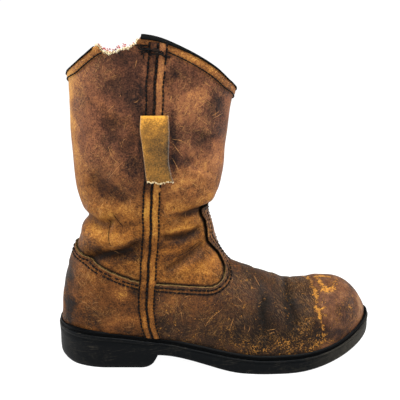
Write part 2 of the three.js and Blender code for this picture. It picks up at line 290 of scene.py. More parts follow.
def trimTop(grid, lower=170):
    # Every column of the shaft ends on the collar line, with its points evenly spread.
    x, y, z = np.moveaxis(grid, 2, 0)
    over = z - (collar(x, y) - np.maximum(1.0, raggedBite(x, y)))
    columns, spread = [], 0
    for j in range(grid.shape[1]):
        r = int(np.argmax(over[:, j] > 0))
        t = over[r - 1, j] / (over[r - 1, j] - over[r, j])
        end = grid[r - 1, j] + t * (grid[r, j] - grid[r - 1, j])
        columns.append(np.vstack([grid[lower:r, j], end]))
        spread = max(spread, len(columns[-1]))
    top = np.stack([alongLine(column, spread) for column in columns], 1)
    return np.vstack([grid[:lower], top])


grid = trimTop(buildGrid())
rows, across = grid.shape[:2]
middle = form["columns"]
closed = np.linalg.norm(grid[:, 0] - grid[:, -1], axis=1) < 0.4
print("form", rows, across)


def normalsOf(points):
    lengthwise = np.gradient(points, axis=0)
    round_ = np.gradient(points, axis=1)
    both = (points[closed, 1] - points[closed, -2]) / 2
    round_[closed, 0] = round_[closed, -1] = both
    normal = np.cross(lengthwise, round_)
    normal /= np.maximum(np.linalg.norm(normal, axis=2, keepdims=True), 1e-9)
    if normal[rows // 2, middle // 2, 1] > 0:
        normal = -normal
    return normal


# Creases and soft folds, as side view lines: depth (out is positive), half width, points.
folds = {
    "ankle": [
        (-6.2, 5.4, [(34, 108), (42, 112), (50, 114.5), (59, 117), (70, 118.6), (77, 121), (86, 126),
                     (94, 131)]),
        (4.0, 7.8, [(30, 131), (42, 134), (53, 131), (64.5, 129.6), (76, 130.5), (88, 137)]),
        (-2.4, 4.4, [(36, 147), (44, 149.5), (50, 146.5), (56, 145), (62, 147.5), (70, 153)]),
        (2.6, 7.0, [(40, 160), (52, 157), (62, 158)]),
        (-3.8, 3.6, [(108, 134.5), (118, 133.2), (126, 132.6), (134, 133.4), (142, 136.5), (148, 139)]),
        (2.0, 6.0, [(112, 144), (125, 142), (134, 142), (143, 145)]),
        (1.0, 6.0, [(110, 121), (120, 122), (131, 124), (144, 128)]),
        (-3.2, 4.2, [(151, 124), (144, 119.5), (136, 114), (128, 109), (120, 104), (110, 100)]),
        (2.3, 6.0, [(154, 110), (138, 104.5), (125, 99.5), (112, 96.5)]),
        (-3.0, 3.8, [(157, 157), (150, 158), (142, 158.6), (135, 157), (128, 153), (121, 148)]),
        (2.6, 8.0, [(160, 170), (148, 170), (134, 168), (122, 165)]),
        (1.6, 5.0, [(144, 148.5), (130, 149.5), (117, 149)]),
        (-1.2, 1.6, [(60, 152), (63.5, 147.5), (62, 143.5), (61.5, 137), (62.6, 130), (65.8, 126)]),
        (-1.4, 2.2, [(66, 160), (68.4, 153.4), (71.6, 149.4), (75, 146), (81, 147), (90, 148.6)]),
        (-1.1, 1.8, [(139, 121), (128, 115.5), (118, 112.5)]),
        (-1.0, 1.6, [(146, 127), (136, 121.5), (125, 117)]),
    ],
    "shaft": [
        (-3.4, 9.0, [(46, 194), (56, 186), (65, 180), (75, 172), (82, 165)]),
        (2.2, 10.0, [(66, 200), (80, 190), (92, 176)]),
        (-1.8, 14.0, [(70, 246), (74, 222)]),
        (-2.0, 12.0, [(150, 232), (143, 214), (135, 200)]),
        (1.6, 14.0, [(150, 196), (140, 184), (126, 180)]),
        (-1.4, 16.0, [(70, 280), (90, 262)]),
        (-1.2, 12.0, [(150, 262), (132, 276)]),
        (1.4, 16.0, [(50, 230), (44, 262)]),
    ],
    "foot": [
        (-2.8, 3.9, [(229.5, 76.5), (230.5, 73), (228, 67.5), (232, 59), (236, 50), (236, 42)]),
        (-2.6, 4.2, [(203, 84), (203, 72), (203.5, 62), (206.5, 50.5), (207, 41), (206, 34)]),
        (1.6, 6.0, [(217, 80), (217, 64), (220, 50), (221, 38)]),
        (-1.0, 2.2, [(190, 91), (194.4, 86), (198.5, 81.7), (202, 77), (200, 72)]),
        (-1.4, 5.0, [(172, 52), (182, 55), (191, 58), (199, 55)]),
        (1.4, 7.0, [(150, 60), (166, 68), (178, 74)]),
        (-1.2, 6.0, [(140, 50), (156, 54), (170, 64)]),
        (1.1, 5.0, [(262, 78), (263, 66), (265, 52), (266, 38)]),
        (-0.9, 2.0, [(248, 78), (253, 74), (256, 67), (257.5, 58), (260, 50), (260, 32)]),
        (-0.8, 1.6, [(238, 76), (242, 68), (246, 63)]),
        (-0.9, 1.8, [(213, 80), (216, 72), (222, 64), (226, 60)]),
    ],
    "heel": [
        (-1.4, 7.0, [(20, 100), (22, 84), (18, 66)]),
        (1.2, 8.0, [(44, 88), (52, 72), (50, 56)]),
        (-1.2, 8.0, [(84, 82), (78, 68), (80, 52)]),
    ],
}


def foldDepth(xz, inner):
    # How far each point is pushed out, and only the fine creases, where the finish is darkened with dirt and
    # painted shade.
    push, fine = np.zeros(len(xz)), np.zeros(len(xz))
    for group in folds.values():
        for k, (depth, width, line) in enumerate(group):
            sway = inner[:, None] * np.array([[3.0 - 2.0 * (k % 3), 7.0 - 4.5 * (k % 4)]])
            depth = depth * (1 - inner * (0.15 + 0.2 * (k % 3)))
            away, share = toLine(xz + sway, softLine(line, 3.0))
            fade = ease(share / 0.16) * ease((1 - share) / 0.16)
            ends = np.minimum(share, 1 - share) > 0.001
            amount = depth * np.exp(-(away / width) ** 2) * np.where(ends, 0.25 + 0.75 * fade, 0.25)
            push += amount
            if amount.sum() < 0:
                fine += amount / 4.0 * (1 if width < 5 else 0.35)
    return push, clamp(fine, -1, 0)


flat = grid.reshape(-1, 3)
sideView = flat[:, [0, 2]]
innerSide = ease((flat[:, 1] - centre(flat[:, 0])) / 18)      # 0 on the outer side, 1 well onto the inner
push, crease = foldDepth(sideView, innerSide)
# Wide, shallow unevenness of leather that has been worn for years.
push += 0.45 * np.sin(flat[:, 0] / 11 + 1.3 * np.sin(flat[:, 2] / 17)) * np.sin(flat[:, 2] / 13 + 0.8)
lowRise = flat[:, 2] - feather(flat[:, 0])
topDrop = collar(flat[:, 0], flat[:, 1]) - flat[:, 2]
push *= ease(lowRise / 9) * ease((topDrop + 2) / 14)
plainNormals = normalsOf(grid)
skin = grid + plainNormals * push.reshape(rows, across, 1)
skinNormals = normalsOf(skin)
print("folds laid")

number = np.arange(rows * across).reshape(rows, across)
number[closed, -1] = number[closed, 0]       # the two ends of a closed ring are one point
quads = number.ravel()[bridge(rows, across)]
triangles = np.concatenate([quads[:, [0, 1, 2]], quads[:, [0, 2, 3]]])
points, outward = skin.reshape(-1, 3), skinNormals.reshape(-1, 3)


def treeOf(places):
    # The skin's triangles over these places, for finding where a line meets them.
    return BVHTree.FromPolygons([Vector(p) for p in places], [tuple(t) for t in triangles.tolist()])


skinTree, plainTree = treeOf(placed(points)), treeOf(flat)


def onSkin(x, z, side, lift=0.0):
    # The place on the shaft's skin at this spot of the side view, and its outward direction.
    for past in (0, 1, 2, 4, 7):                 # a spot just past the edge borrows from the skin beside it
        start = placed([x, side * 200, z + (past if z < 150 else -past)])
        hit, normal = skinTree.ray_cast(Vector(start), Vector((0, -side, 0)))[:2]
        if hit is not None:
            break
    normal = np.array(normal)
    normal = normal if normal[1] * side > 0 else -normal
    spot = np.array(hit) * 1000 - shift + normal * lift
    spot[2] -= past if z < 150 else -past
    return spot, normal


# Outlines of the vamp and the counter.
panels = {
    "thick": 2.1, "edgeGap": 0.3,
    "vampEdge": [(96.3, 89.5), (110, 88.2), (125, 86), (150, 83.3), (158, 83.2), (164, 85.7),
                 (167.5, 89.5), (168, 95), (165.5, 101), (161, 109.5), (156, 117.5), (152, 125),
                 (150.5, 131), (150.5, 137), (149, 143), (146, 149), (145, 154), (147, 158)],
    "counterEdge": [(-20, 118.5), (22, 118), (30, 115.7), (37, 112.8), (52, 105.8), (63, 100.6),
                    (75, 95.4), (86, 91.8), (95.7, 89.5)],
}
seamHeights = np.linspace(0, 89.5, 30)
vampOutline = np.vstack([
    np.stack([seam(seamHeights) + panels["edgeGap"], seamHeights], 1),
    softLine(panels["vampEdge"]), [(240, 158), (340, 120), (340, 0)],
])
counterOutline = np.vstack([
    np.stack([seam(seamHeights) - panels["edgeGap"], seamHeights], 1),
    softLine(panels["counterEdge"])[::-1], [(-40, 118.5), (-40, 0)],
])


def surfaceDistance(line):
    # How far each point of the unfolded skin lies from a side view line, drawn on both sides of the boot.
    best = np.full(len(flat), 1e9)
    for side in (-1, 1):
        hits = [plainTree.ray_cast(Vector((px, side * 200, pz)), Vector((0, -side, 0)))[0]
                for px, pz in alongLine(line, spacing=1.5)]
        best = np.minimum(best, toLine(flat, np.array([hit for hit in hits if hit is not None]))[0])
    return best


vampEdge = np.vstack([softLine(panels["vampEdge"]), [(185, 158)]])
counterEdge = softLine(panels["counterEdge"])
vampInside, counterInside = insideOf(sideView, vampOutline), insideOf(sideView, counterOutline)
vampEdgeAway, counterEdgeAway = surfaceDistance(vampEdge), surfaceDistance(counterEdge)
vampField, counterField = (
    np.minimum(away, surfaceDistance(outline[:len(seamHeights)])) * np.where(inside, 1, -1)
    for away, outline, inside in ((vampEdgeAway, vampOutline, vampInside),
                                  (counterEdgeAway, counterOutline, counterInside)))
x, y, z = flat.T
slope = np.gradient(scallop(np.linspace(20, 180, 321)), 0.5)
collarSteep = np.sqrt(1 + np.interp(x, np.linspace(20, 180, 321), slope) ** 2)
collarBand = {
    "wide": 9.4, "lift": 0.6, "crown": 0.9, "paler": 0.05,
    "narrower": ((66, -15, 1.5), (40, -12, 2.0), (158, 15, 1.8)),      # from x, over this run, by this much
}
bandWide = np.full(len(flat), collarBand["wide"])
for start, run, less in collarBand["narrower"]:
    bandWide -= less * ease((x - start) / run)
bandField = bandWide - topDrop / collarSteep


def clipSheet(field):
    # The part of the skin where field > 0, cut cleanly along field = 0.
    value = field[triangles]
    full = triangles[(value > 0).all(1)]
    mixed = triangles[(value > 0).any(1) & (value <= 0).any(1)]
    pairs, extra, added = {}, [], []

    def cut(a, b):
        key = (min(a, b), max(a, b))
        if key not in pairs:
            pairs[key] = len(flat) + len(extra)
            lo, hi = key
            extra.append((lo, hi, field[lo] / (field[lo] - field[hi])))
        return pairs[key]

    for tri in mixed:
        ins = [field[i] > 0 for i in tri]
        turn = next(k for k in range(3) if ins[k] != ins[k - 1] and ins[k] != ins[(k + 1) % 3])
        a, b, c = (int(tri[(turn + k) % 3]) for k in range(3))
        ab, ac = cut(a, b), cut(a, c)
        if ins[turn]:
            added.append((a, ab, ac))
        else:
            added += [(ab, b, c), (ab, c, ac)]
    faces = np.concatenate([full, np.array(added, int).reshape(-1, 3)])
    extra = np.array(extra).reshape(-1, 3)
    used, faces = np.unique(faces, return_inverse=True)
    faces = faces.reshape(-1, 3)
    lo = np.where(used < len(flat), used, 0)
    hi, t = lo.copy(), np.zeros(len(used))
    new = used >= len(flat)
    picked = extra[used[new] - len(flat)]
    lo[new], hi[new], t[new] = picked[:, 0].astype(int), picked[:, 1].astype(int), picked[:, 2]

    def carry(values):
        values = np.asarray(values, float)
        weight = t if values.ndim == 1 else t[:, None]
        return values[lo] * (1 - weight) + values[hi] * weight
    return faces, carry


def rimOf(faces):
    # The open edges of a triangle mesh, each turned as its own face has it.
    edges = np.concatenate([faces[:, [0, 1]], faces[:, [1, 2]], faces[:, [2, 0]]])
    seen = dict.fromkeys(map(tuple, edges.tolist()))
    return np.array([(a, b) for a, b in seen if (b, a) not in seen], int)


def contour(field, level, keep):
    # The lines where field equals level, as strings of (place, outward) on the kept part of the skin.
    tris = triangles[keep[triangles].all(1)]
    value = field[tris] - level
    tris = tris[(value > 0).any(1) & (value <= 0).any(1)]
    links, spot = {}, {}
    for tri in tris.tolist():
        ends = []
        for a, b in ((tri[0], tri[1]), (tri[1], tri[2]), (tri[2], tri[0])):
            fa, fb = field[a] - level, field[b] - level
            if (fa > 0) != (fb > 0):
                key = (min(a, b), max(a, b))
                lo, hi = key
                t = (level - field[lo]) / (field[hi] - field[lo])
                spot[key] = np.concatenate([points[lo] + t * (points[hi] - points[lo]),
                                            outward[lo] + t * (outward[hi] - outward[lo])])
                ends.append(key)
        if len(ends) == 2:
            links.setdefault(ends[0], []).append(ends[1])
            links.setdefault(ends[1], []).append(ends[0])
    lines, done = [], set()
    for first in sorted(links, key=lambda k: (len(links[k]) != 1, k)):
        if first in done:
            continue
        chain, here = [first], first
        done.add(first)
        while True:
            onward = [k for k in links[here] if k not in done]
            if not onward:
                break
            here = onward[0]
            done.add(here)
            chain.append(here)
        if len(chain) > 6:
            lines.append(np.array([spot[k] for k in chain]))
    return lines


def linear(colour):
    parts = [int(colour[i:i + 2], 16) / 255 for i in (1, 3, 5)]
    return tuple(c / 12.92 if c <= 0.04045 else ((c + 0.055) / 1.055) ** 2.4 for c in parts) + (1.0,)


def addNode(tree, kind, settings=None, links=None, out=0):
    # Adds one node and gives back one of its outputs. Settings go to its sockets or properties,
    # and links come from other nodes' outputs. A colour in hex may stand in either.
    made = tree.nodes.new("ShaderNode" + kind)
    for key, value in (settings or {}).items():
        if key == "stops":
            ramp = made.color_ramp
            while len(ramp.elements) < len(value):
                ramp.elements.new(0.5)
            for element, (place, colour) in zip(ramp.elements, value):
                element.position, element.color = place, linear(colour)
        elif isinstance(key, int) or key in made.inputs:
            made.inputs[key].default_value = linear(value) if isinstance(value, str) else value
        else:
            setattr(made, key, value)
    for key, source in (links or {}).items():
        if isinstance(source, str):
            made.inputs[key].default_value = linear(source)
        else:
            tree.links.new(source, made.inputs[key])
    return made.outputs[out]


def startMaterial(name, **sockets):
    made = bpy.data.materials.new(name)
    made.use_nodes = True
    tree = made.node_tree
    shader = tree.nodes["Principled BSDF"]
    for key, value in sockets.items():
        shader.inputs[key.replace("_", " ")].default_value = value
    return made, tree, shader, addNode(tree, "TexCoord", out="Object")


def finishMaterial(tree, shader, colour, relief, strength, depthMm, rough=None):
    bump = addNode(tree, "Bump", {"Strength": strength, "Distance": depthMm / 1000}, {"Height": relief})
    tree.links.new(colour, shader.inputs["Base Color"])
    tree.links.new(bump, shader.inputs["Normal"])
    if rough is not None:
        tree.links.new(rough, shader.inputs["Roughness"])


def mottle(tree, where, sizeMm, low, high, detail=3.0, harsh=0.55):
    # Cloudy patches about sizeMm across, spread between 0 and 1.
    cloud = addNode(tree, "TexNoise", {"Scale": 1000 / sizeMm, "Detail": detail, "Roughness": harsh},
                    {"Vector": where})
    return addNode(tree, "MapRange", {"From Min": low, "From Max": high}, {"Value": cloud})


def streaks(tree, where, turn, thinMm, longMm, low, high):
    # Thin lines, thinMm by longMm, running at an angle in the side view.
    laid = addNode(tree, "Mapping", {
        "vector_type": "TEXTURE", "Rotation": (0, math.radians(turn), 0),
        "Scale": (thinMm / 1000, longMm / 1000, longMm / 1000)}, {"Vector": where})
    line = addNode(tree, "TexNoise", {"Scale": 1.0, "Detail": 1.0}, {"Vector": laid})
    return addNode(tree, "MapRange", {"From Min": low, "From Max": high}, {"Value": line})


# Oiled pull-up leather: full-grain cowhide stuffed with wax and oil, so it goes pale where it is
# bent or scuffed and dark where it is wet or greasy. Soft, low gloss, every rub shows.
leather = {
    "tan": ("#190e07", "#48290e", "#84511f", "#c8933f"),       # from deep to pale
    "wine": ("#1a100c", "#482b1e", "#7b4d33", "#b97f48"),      # the redder leather high on the shaft
    "stops": (0.0, 0.28, 0.58, 1.0), "scratch": "#c4924f", "cut": "#6a5330", "dirtAndPaintedShade": "#080503",
    "mottleMm": 46, "cloudMm": 17, "gloss": 0.56,
    "grainMm": 1.4,                              # real grain is finer; this is coarse enough to show
    "scratches": ((33, 0.5, 9, 0.64), (-52, 0.45, 14, 0.65), (8, 0.45, 7, 0.66), (74, 0.45, 11, 0.66)),
}


def oiledLeather(name, look, keys=()):
    made, tree, shader, where = startMaterial(name, IOR=1.48, Specular_IOR_Level=0.11)
    note = {key: addNode(tree, "Attribute", {"attribute_name": key}, out="Fac")
            for key in ("tone", "plum", "crease") + keys}
    grain, deep = look["grainMm"], look["tan"][0]
    cloud = mottle(tree, where, look["cloudMm"], 0.32, 0.68, 4.0, 0.6)
    # the tone read from the mesh holds painted light and shade as well as stains and wear
    tone = note["tone"]
    for pattern, share in ((mottle(tree, where, look["mottleMm"], 0.3, 0.7, 4.0), 0.2), (cloud, 0.14),
                           (mottle(tree, where, grain, 0.34, 0.66, 3.0, 0.6), 0.36),
                           (mottle(tree, where, grain * 3, 0.3, 0.7, 6.0, 0.72), 0.3)):
        tone = addNode(tree, "Math", {"operation": "MULTIPLY_ADD", 1: share}, {0: pattern, 2: tone})
    tone = addNode(tree, "Math", {"operation": "ADD", 1: -0.46}, {0: tone})
    tan, wine = (addNode(tree, "ValToRGB", {"stops": tuple(zip(look["stops"], look[key]))}, {"Fac": tone})
                 for key in ("tan", "wine"))
    plum = addNode(tree, "Math", {"operation": "MULTIPLY"},
                   {0: note["plum"], 1: mottle(tree, where, 34, 0.1, 0.46)})
    # dirt rubbed into the grain
    dirt = addNode(tree, "Math", {"operation": "MULTIPLY"},
                   {0: mottle(tree, where, grain, 0.56, 0.7, 3.0, 0.6),
                    1: mottle(tree, where, 24, 0.38, 0.66)})
    # dry pale scratches in four directions, in patches
    lines = None
    for turn, thin, long, low in look["scratches"]:
        one = streaks(tree, where, turn, thin, long, low, low + 0.07)
        lines = one if lines is None else addNode(tree, "Math", {"operation": "MAXIMUM"}, {0: lines, 1: one})
    lines = addNode(tree, "Math", {"operation": "MULTIPLY"},
                    {0: lines, 1: mottle(tree, where, 26, 0.42, 0.62)})
    rubbed = addNode(tree, "Math", {"operation": "MULTIPLY", "use_clamp": True}, {0: lines, 1: tone})
    # creases darkened: dirt held in them, and painted shade in the crease
    creaseDirtAndShade = addNode(tree, "Math", {"operation": "MULTIPLY", 1: -0.7}, {0: note["crease"]})
    # Mix nodes of kind RGBA take their colours at sockets 6 and 7 and give the result at output 2.
    colour = tan
    for amount, paint in ((plum, wine), (dirt, deep), (rubbed, look["scratch"]), (creaseDirtAndShade, deep)):
        colour = addNode(tree, "Mix", {"data_type": "RGBA"}, {0: amount, 6: colour, 7: paint}, out=2)
    cells = addNode(tree, "TexVoronoi", {"Scale": 1000 / grain}, {"Vector": where})
    relief = mottle(tree, where, 5, 0.2, 0.8, 5.0, 0.6)
    for pattern, share in ((cells, 0.35), (lines, -0.4)):
        relief = addNode(tree, "Math", {"operation": "MULTIPLY_ADD", 1: share}, {0: pattern, 2: relief})
    return {
        "material": made, "tree": tree, "shader": shader, "where": where, "note": note,
        "colour": colour, "relief": relief,
        "rough": addNode(tree, "MapRange", {"To Min": look["gloss"] - 0.1, "To Max": look["gloss"] + 0.14},
                         {"Value": cloud}),
    }


def finishLeather(parts, depthMm=0.5):
    finishMaterial(parts["tree"], parts["shader"], parts["colour"], parts["relief"], 0.8, depthMm,
                   parts["rough"])
    return parts["material"]


def edgeShade(parts, look):
    # Just past a panel's cut edge the leather is black: dirt and a painted shadow under the raised edge; on
    # the panel the edge is pale, except where the gap shadow is painted.
    tree, edge = parts["tree"], parts["note"]["edge"]
    wobble = addNode(tree, "Math", {"operation": "MULTIPLY_ADD", 1: 0.8},
                     {0: mottle(tree, parts["where"], 4, 0.3, 0.7), 2: edge})
    near = addNode(tree, "MapRange", {"From Min": -2.6, "From Max": -0.4, "To Max": 0.98}, {"Value": wobble})
    past = addNode(tree, "Math", {"operation": "LESS_THAN", 1: 0.3}, {0: edge})
    edgeDirtAndShadow = addNode(tree, "Math", {"operation": "MULTIPLY"}, {0: near, 1: past})
    pale = parts["note"]["skived"]
    for side, limitMm in (("GREATER_THAN", 0.31), ("LESS_THAN", 0.95)):
        within = addNode(tree, "Math", {"operation": side, 1: limitMm}, {0: wobble})
        pale = addNode(tree, "Math", {"operation": "MULTIPLY"}, {0: pale, 1: within})
    for amount, paint in ((edgeDirtAndShadow, look["dirtAndPaintedShade"]), (pale, look["cut"])):
        parts["colour"] = addNode(tree, "Mix", {"data_type": "RGBA"},
                                  {0: amount, 6: parts["colour"], 7: paint}, out=2)


def chipped(parts):
    # Broken finish: small flecks where the dark surface has chipped to raw leather.
    tree, amount = parts["tree"], parts["note"]["crackle"]
    for sizeMm, low, high, harsh in ((1.35, 0.52, 0.6, 0.65), (9, 0.38, 0.6, 0.55)):
        amount = addNode(tree, "Math", {"operation": "MULTIPLY"},
                         {0: amount, 1: mottle(tree, parts["where"], sizeMm, low, high, 3.0, harsh)})
    return amount


def shaftLeather():
    parts = oiledLeather("oiled pull-up leather, shaft", leather, ("edge", "skived"))
    edgeShade(parts, leather)
    return finishLeather(parts)


def counterLeather():
    look = dict(leather, tan=("#190e07", "#48290e", "#71431e", "#c8933f"), chip="#a06a35")
    parts = oiledLeather("oiled pull-up leather, counter", look, ("edge", "skived", "crackle"))
    edgeShade(parts, look)
    parts["colour"] = addNode(parts["tree"], "Mix", {"data_type": "RGBA"},
                              {0: chipped(parts), 6: parts["colour"], 7: look["chip"]}, out=2)
    return finishLeather(parts)


def vampLeather():
    look = dict(leather, tan=("#170e07", "#332014", "#5e391c", "#99632d"), mottleMm=30, gloss=0.54,
                grease="#110c06", crack="#0a0704", chip="#a5702f", wrinkle="#7d5c3a", scrapRim="#241209",
                raw=((0.0, "#7d4f24"), (1.0, "#bf8533")),
                redBrown=((0.33, "#261611"), (0.6, "#4a2d1d"), (0.9, "#6c462d"), (1.0, "#82603f")))
    parts = oiledLeather("oiled pull-up leather, vamp", look,
                         ("edge", "skived", "crackle", "grease", "toe", "peel", "wrinkle"))
    tree, where, note = parts["tree"], parts["where"], parts["note"]
    # greasy grey-black over the joint of the toes
    greasy = addNode(tree, "Math", {"operation": "MULTIPLY"},
                     {0: note["grease"], 1: mottle(tree, where, 9, 0.25, 0.6, 4.0)})
    # beyond a ragged line the finish of the toe is worn down to red-brown
    ragged = addNode(tree, "Math", {"operation": "MULTIPLY_ADD", 1: 6.0},
                     {0: mottle(tree, where, 5, 0.2, 0.8, 4.0, 0.6), 2: note["toe"]})
    bare = addNode(tree, "MapRange", {"From Min": 2.2, "From Max": 4.0, "To Max": 0.85}, {"Value": ragged})
    shade = addNode(tree, "Math", {"operation": "ADD"},
                    {0: mottle(tree, where, 7, 0.28, 0.76, 8.0, 0.8), 1: note["tone"]})
    redBrown = addNode(tree, "ValToRGB", {"stops": look["redBrown"]}, {"Fac": shade})
    # scraps where the finish has come away to the raw yellow leather, each with a dark rim
    scrap = addNode(tree, "Math", {"operation": "MULTIPLY_ADD", 1: 2.3},
                    {0: mottle(tree, where, 4.0, 0.3, 0.7, 7.0, 0.8), 2: note["peel"]})
    rim, torn = (
        addNode(tree, "MapRange", {"From Min": low, "From Max": high, "To Max": most}, {"Value": scrap})
        for low, high, most in ((1.5, 1.62, 0.85), (1.8, 1.88, 0.95)))
    raw = addNode(tree, "ValToRGB", {"stops": look["raw"]}, {"Fac": mottle(tree, where, 3, 0.3, 0.7)})
    # fine wrinkles along the creases, and a net of greasy cracks over the joint
    wrinkle = addNode(tree, "Math", {"operation": "MULTIPLY"},
                      {0: streaks(tree, where, -38, 0.5, 4, 0.56, 0.64), 1: note["wrinkle"]})
    nets = []                                    # one for the colour, one for the relief
    for sizeMm, wide, deep in ((2.6, 0.14, 0.9), (3.2, 0.12, -0.7)):
        net = addNode(tree, "TexVoronoi", {"feature": "DISTANCE_TO_EDGE", "Scale": 1000 / sizeMm},
                      {"Vector": where})
        net = addNode(tree, "MapRange", {"From Max": wide, "To Min": deep, "To Max": 0.0}, {"Value": net})
        nets.append(addNode(tree, "Math", {"operation": "MULTIPLY"}, {0: net, 1: note["grease"]}))
    for amount, paint in ((greasy, look["grease"]), (bare, redBrown), (rim, look["scrapRim"]), (torn, raw),
                          (chipped(parts), look["chip"]), (nets[0], look["crack"]),
                          (wrinkle, look["wrinkle"])):
        parts["colour"] = addNode(tree, "Mix", {"data_type": "RGBA"},
                                  {0: amount, 6: parts["colour"], 7: paint}, out=2)
    for pattern, share in ((wrinkle, 0.8), (nets[1], 1.0)):
        parts["relief"] = addNode(tree, "Math", {"operation": "MULTIPLY_ADD", 1: share},
                                  {0: pattern, 2: parts["relief"]})
    edgeShade(parts, look)
    return finishLeather(parts, 0.7)


def stripLeather():
    look = dict(leather, mottleMm=22, gloss=0.54)
    return finishLeather(oiledLeather("oiled pull-up leather, seam strip", look))


# The cut edge of vegetable-tanned splits: dry fibres, no gloss, olive with dust.
def cutEdge():
    made, tree, shader, where = startMaterial("raw cut leather edge", Roughness=1.0, Specular_IOR_Level=0.02)
    skived = addNode(tree, "Attribute", {"attribute_name": "skived"}, out="Fac")
    fibres = addNode(tree, "ValToRGB", {"stops": ((0.0, "#1c150b"), (0.5, "#3a2e19"), (1.0, "#5f4d29"))},
                     {"Fac": mottle(tree, where, 2, 0.3, 0.7, 4.0)})
    # where the vamp's front edge stands off the shaft, its cut edge is painted near black: painted shadow in
    # the gap
    shown = addNode(tree, "Mix", {"data_type": "RGBA", 6: "#050302"}, {0: skived, 7: fibres}, out=2)
    tree.links.new(shown, shader.inputs["Base Color"])
    return made


# Flesh side and lining leather: napped, matt, tan, darker with sweat.
def liningLeather(name, dark, light):
    made, tree, shader, where = startMaterial(name, Roughness=0.92, Specular_IOR_Level=0.2, Sheen_Weight=0.15)
    colour = addNode(tree, "ValToRGB", {"stops": ((0.0, dark), (1.0, light))},
                     {"Fac": mottle(tree, where, 18, 0.25, 0.75, 8.0, 0.7)})
    finishMaterial(tree, shader, colour, mottle(tree, where, 1.2, 0.2, 0.8, 5.0, 0.7), 0.6, 0.4)
    return made


# Suede split: brushed fibres that catch light, darker where hands have greased it; the tone it reads also
# holds a painted highlight on the fold at the top.
def strapSuede(stops):
    made, tree, shader, where = startMaterial(
        "suede split, pull strap", Roughness=0.97, Specular_IOR_Level=0.15, Sheen_Weight=0.25)
    tone = addNode(tree, "Attribute", {"attribute_name": "tone"}, out="Fac")
    for pattern in (mottle(tree, where, 7, 0.25, 0.75, 6.0, 0.7),
                    mottle(tree, where, 1.3, 0.3, 0.7, 3.0, 0.6)):
        tone = addNode(tree, "Math", {"operation": "MULTIPLY_ADD", 1: 0.4}, {0: pattern, 2: tone})
    colour = addNode(tree, "ValToRGB", {"stops": stops}, {"Fac": tone})
    nap = mottle(tree, where, 0.9, 0.2, 0.8, 5.0, 0.75)        # fibres drawn coarse enough to show
    dusted = addNode(tree, "Mix", {"data_type": "RGBA", "blend_type": "OVERLAY", 0: 0.35},
                     {6: colour, 7: nap}, out=2)
    finishMaterial(tree, shader, dusted, nap, 0.7, 0.4)
    return made


# Nitrile rubber, moulded: near black, semi-gloss where clean, grey and dull with dust and scuffs.
def rubber(name, look):
    made, tree, shader, where = startMaterial(name, IOR=1.52, Specular_IOR_Level=look["shine"])
    dust = look["dust"]
    marks = addNode(tree, "Math", {"operation": "MULTIPLY"}, {
        0: streaks(tree, where, 78, 0.9, 13, 0.54, 0.74), 1: mottle(tree, where, 13, 0.44, 0.6, 4.0)})
    film = addNode(tree, "Math", {"operation": "MULTIPLY"}, {
        0: addNode(tree, "Attribute", {"attribute_name": "dust"}, out="Fac"),
        1: mottle(tree, where, 5, 0.3, 0.62, 7.0, 0.75)})
    for pattern, share in ((mottle(tree, where, 28, 0.35, 0.7, 6.0, 0.65), dust),
                           (mottle(tree, where, 2.4, 0.45, 0.65, 5.0, 0.7), dust * 0.6)):
        film = addNode(tree, "Math", {"operation": "MULTIPLY_ADD", 1: share}, {0: pattern, 2: film})
    film = addNode(tree, "Math", {"operation": "MULTIPLY_ADD", "use_clamp": True, 1: dust * 3},
                   {0: marks, 2: film})
    colour = addNode(tree, "Mix", {"data_type": "RGBA", 6: look["clean"], 7: look["dusty"]}, {0: film}, out=2)
    rough = addNode(tree, "MapRange", {"To Min": look["gloss"], "To Max": 0.85}, {"Value": film})
    finishMaterial(tree, shader, colour, mottle(tree, where, 1.6, 0.2, 0.8, 4.0), 0.35, 0.4, rough)
    return made


# Waxed nylon thread: black, twisted, a slight sheen; drawn a little thick so that it shows.
def thread(name, colour, rough):
    made, tree, shader, where = startMaterial(name, Roughness=rough, Specular_IOR_Level=0.12)
    shade = addNode(tree, "Mix", {"data_type": "RGBA", 6: colour, 7: "#241a12"},
                    {0: mottle(tree, where, 5, 0.5, 0.75)}, out=2)
    finishMaterial(tree, shader, shade, mottle(tree, where, 0.6, 0.2, 0.8), 0.5, 0.2)
    return made


shaftSkin, vampSkin, counterSkin, stripSkin = shaftLeather(), vampLeather(), counterLeather(), stripLeather()
rawEdge = cutEdge()
lining = liningLeather("napped leather lining", "#4a3523", "#8a6a48")
creamFibre = liningLeather("torn canvas and leather fibres", "#b09a6c", "#efe2bd")
scratchRaw = liningLeather("scuffed open leather grain", "#7d5229", "#b07c42")
blackThreadAndCreaseShade = thread("waxed nylon thread, black, also painted crease shade", "#040303", 0.75)
redThread = thread("cotton thread, red", "#a8231a", 0.85)
print("materials made")
